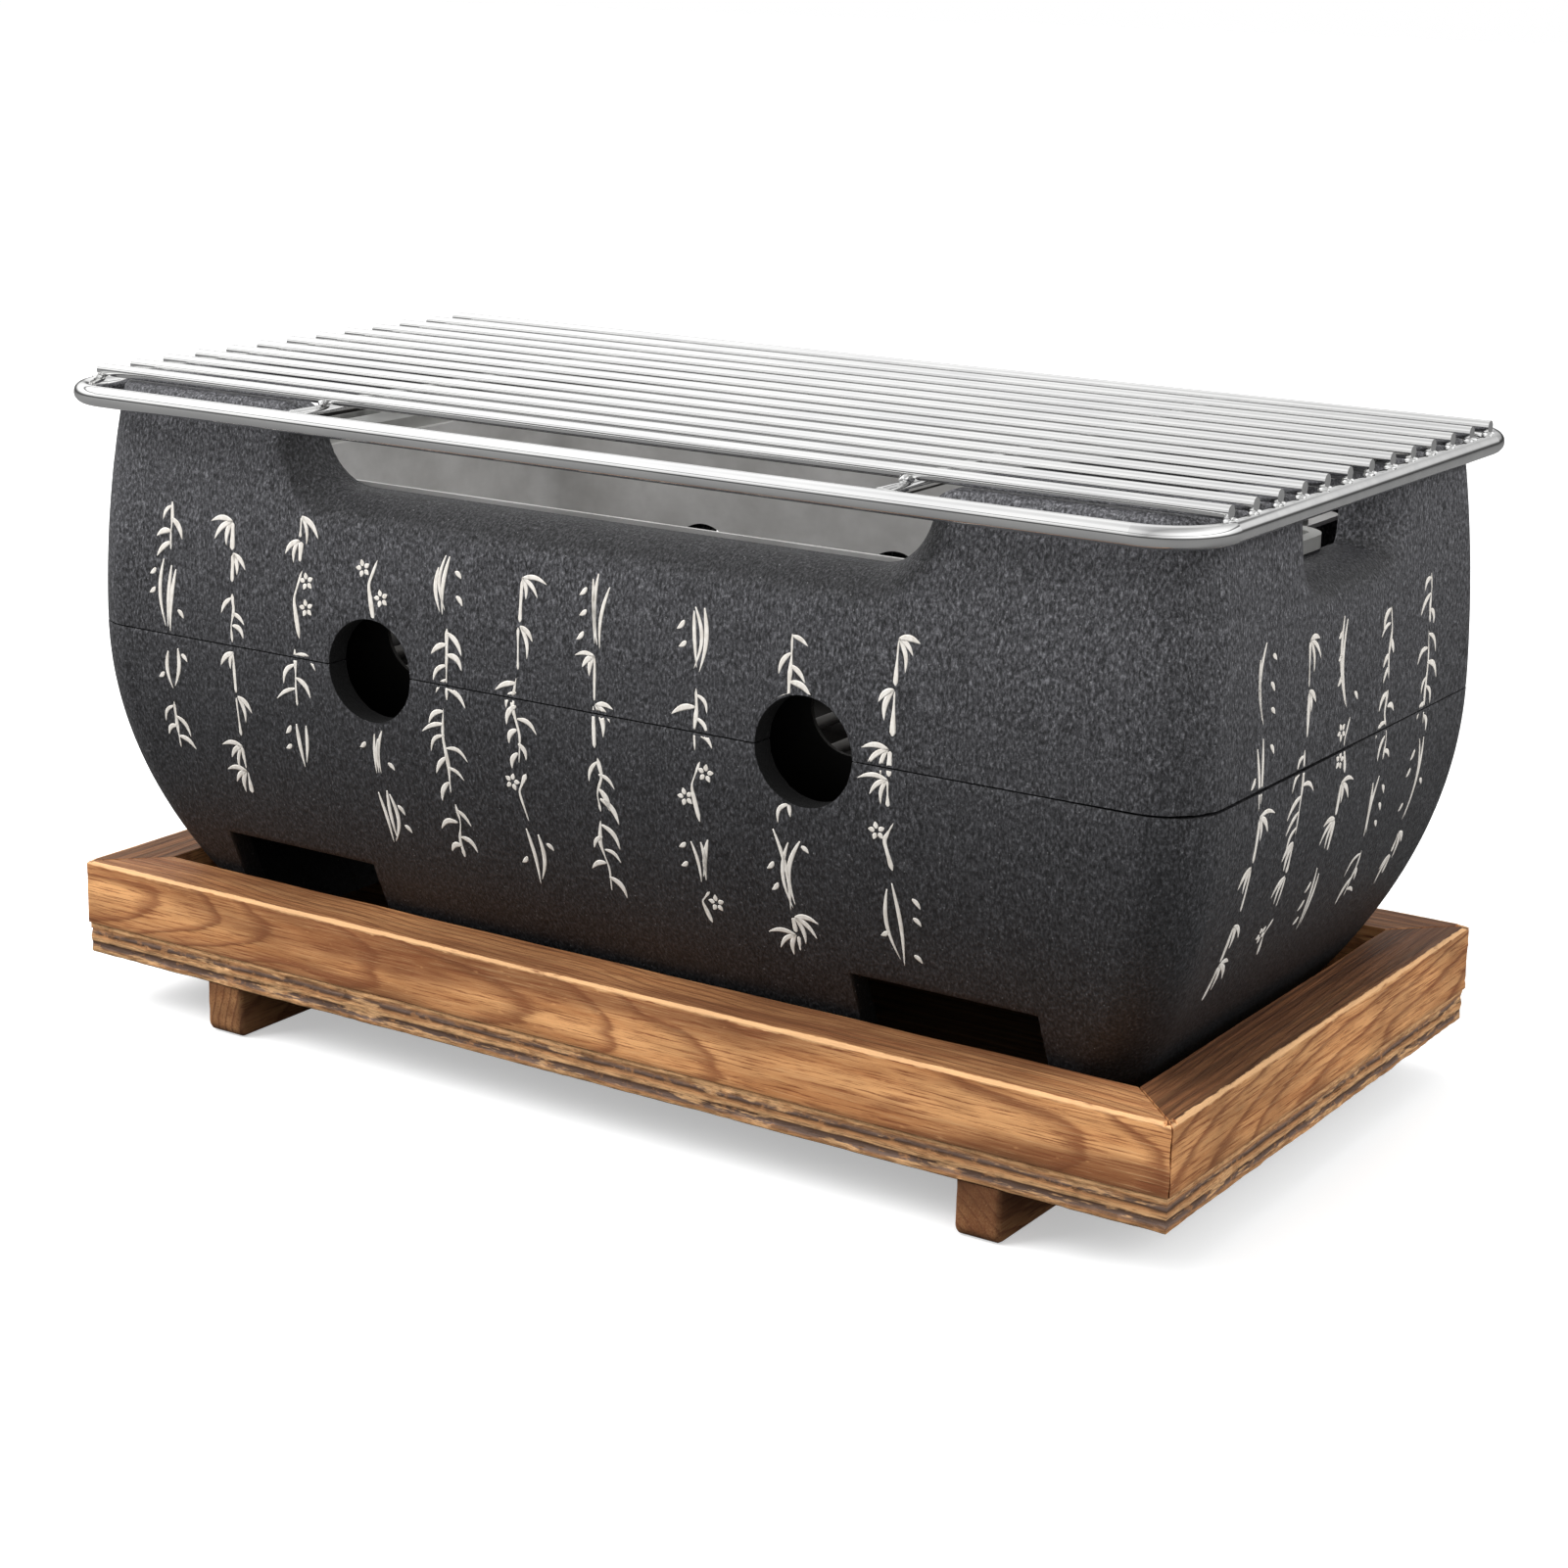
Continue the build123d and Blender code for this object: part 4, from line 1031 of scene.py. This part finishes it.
def casting_wall(face, u, v):
    """The outer face's point and outward direction at u along it and height v."""
    along, sign = face
    arcs, widest = ((SIDE_ARCS, HALF_DEPTH), (END_ARCS, HALF_LENGTH))[along]
    out = half_width(v, widest, arcs) * sign
    slope = (half_width(v + 0.1, widest, arcs) - half_width(v - 0.1, widest, arcs)) / 0.2
    point = np.stack([u, out, v] if along == 0 else [out, u, v], 1)
    flat = np.zeros_like(u)
    normal = np.stack([flat, flat + sign, -slope] if along == 0 else [flat + sign, flat, -slope], 1)
    return point, normal / np.linalg.norm(normal, axis=1)[:, None]


INK_LIFT, INK_SINK = 0.045, 0.12
STROKE_POINTS = 5
PAST_VENT, INTO_VENT, PAST_SEAM = 0.5, 0.6, 0.42


def stroke_mesh(face, centre, half):
    """A thin closed skin of ink on a casting face, left out where a vent or the seam runs."""
    across = STROKE_POINTS
    step = np.gradient(centre, axis=0)
    side = np.stack([-step[:, 1], step[:, 0]], 1)
    side /= np.maximum(np.linalg.norm(side, axis=1), 1e-9)[:, None]
    spread = np.linspace(-1, 1, across)
    grid = centre[:, None, :] + side[:, None, :] * (half[:, None] * spread[None, :])[:, :, None]
    rows = len(centre)
    u, v = grid[..., 0].ravel(), grid[..., 1].ravel()
    if face[0] == 0:
        from_vent = np.hypot(np.abs(u) - VENT_X, v - SEAM)
        close = from_vent < VENT_R + PAST_VENT
        keep = from_vent > VENT_R - INTO_VENT
        scale = np.where(close, (VENT_R + PAST_VENT) / np.maximum(from_vent, 1e-6), 1)
        u = np.where(close, np.sign(u) * (VENT_X + (np.abs(u) - VENT_X) * scale), u)
        v = np.where(close, SEAM + (v - SEAM) * scale, v)
    else:
        keep = np.ones(len(u), bool)
    point, normal = casting_wall(face, u, v)
    top = point + normal * INK_LIFT
    under = point - normal * INK_SINK
    verts = np.concatenate([top, under])
    total = rows * across
    faces = []
    solid = np.zeros((rows - 1, across - 1), bool)
    for i in range(rows - 1):
        for j in range(across - 1):
            ring = [i * across + j, i * across + j + 1, (i + 1) * across + j + 1, (i + 1) * across + j]
            low, high = v[ring].min(), v[ring].max()
            crosses_seam = low < SEAM + PAST_SEAM and high > SEAM - PAST_SEAM
            solid[i, j] = all(keep[ring]) and not crosses_seam
            if solid[i, j]:
                faces.append(ring)
                faces.append([k + total for k in reversed(ring)])

    def is_solid(i, j):
        return 0 <= i < rows - 1 and 0 <= j < across - 1 and solid[i, j]

    for i in range(rows):
        for j in range(across):
            here = i * across + j
            if j < across - 1 and is_solid(i, j) != is_solid(i - 1, j):
                a, b = (here, here + 1) if is_solid(i, j) else (here + 1, here)
                faces.append([b, a, a + total, b + total])
            if i < rows - 1 and is_solid(i, j) != is_solid(i, j - 1):
                a, b = (here, here + across) if is_solid(i, j) else (here + across, here)
                faces.append([a, b, b + total, a + total])
    used = sorted({k for face_verts in faces for k in face_verts})
    order = {k: n for n, k in enumerate(used)}
    return [tuple(verts[k]) for k in used], [[order[k] for k in f] for f in faces]


def printed_face(name, face, columns, seed):
    """The pattern on one face. Each column is where it stands, its top and its bottom."""
    rng = np.random.default_rng(seed)
    parts = []
    for u, top, bottom in columns:
        for centre, half in sprig(u, top, bottom, rng):
            verts, faces = stroke_mesh(face, centre, half)
            if faces:
                parts.append((verts, faces))
    add_faces(name, parts, cream, "firebox")


long_columns = [(-101.0, 108, 56), (-84.0, 106, 50), (-67.5, 109, 54), (-48.0, 103, 46), (-31.0, 106, 46),
                (-13.0, 104, 44), (5.0, 107, 46), (26.0, 104, 44), (46.0, 102, 42), (67.0, 104, 44)]
end_columns = [(-38.0, 107, 42), (-20.0, 104, 46), (-3.0, 106, 46), (15.0, 104, 48), (34.0, 107, 44)]
printed_face("print_front", (0, -1), long_columns, 3)
printed_face("print_back", (0, 1), [(-u, top, low) for u, top, low in long_columns], 4)
printed_face("print_right", (1, 1), end_columns, 6)
printed_face("print_left", (1, -1), [(-u, top, low) for u, top, low in end_columns], 8)

# ================ CAD nodes that stay
def paint(node, material):
    """Gives a CAD node its material."""
    data = nodes[node].data
    data.materials.clear()
    data.materials.append(material)


for node in nodes:
    if node.startswith("grate_"):
        paint(node, polished)
    elif node.startswith("charcoal_rack"):
        paint(node, rack_steel)
    elif node in ("firebox_screws", "tray_rail_nails", "tray_foot_nails"):
        paint(node, zinc)
    elif node == "liner_trough":
        paint(node, liner_steel)
    elif node.startswith("liner_"):
        paint(node, tab_steel)
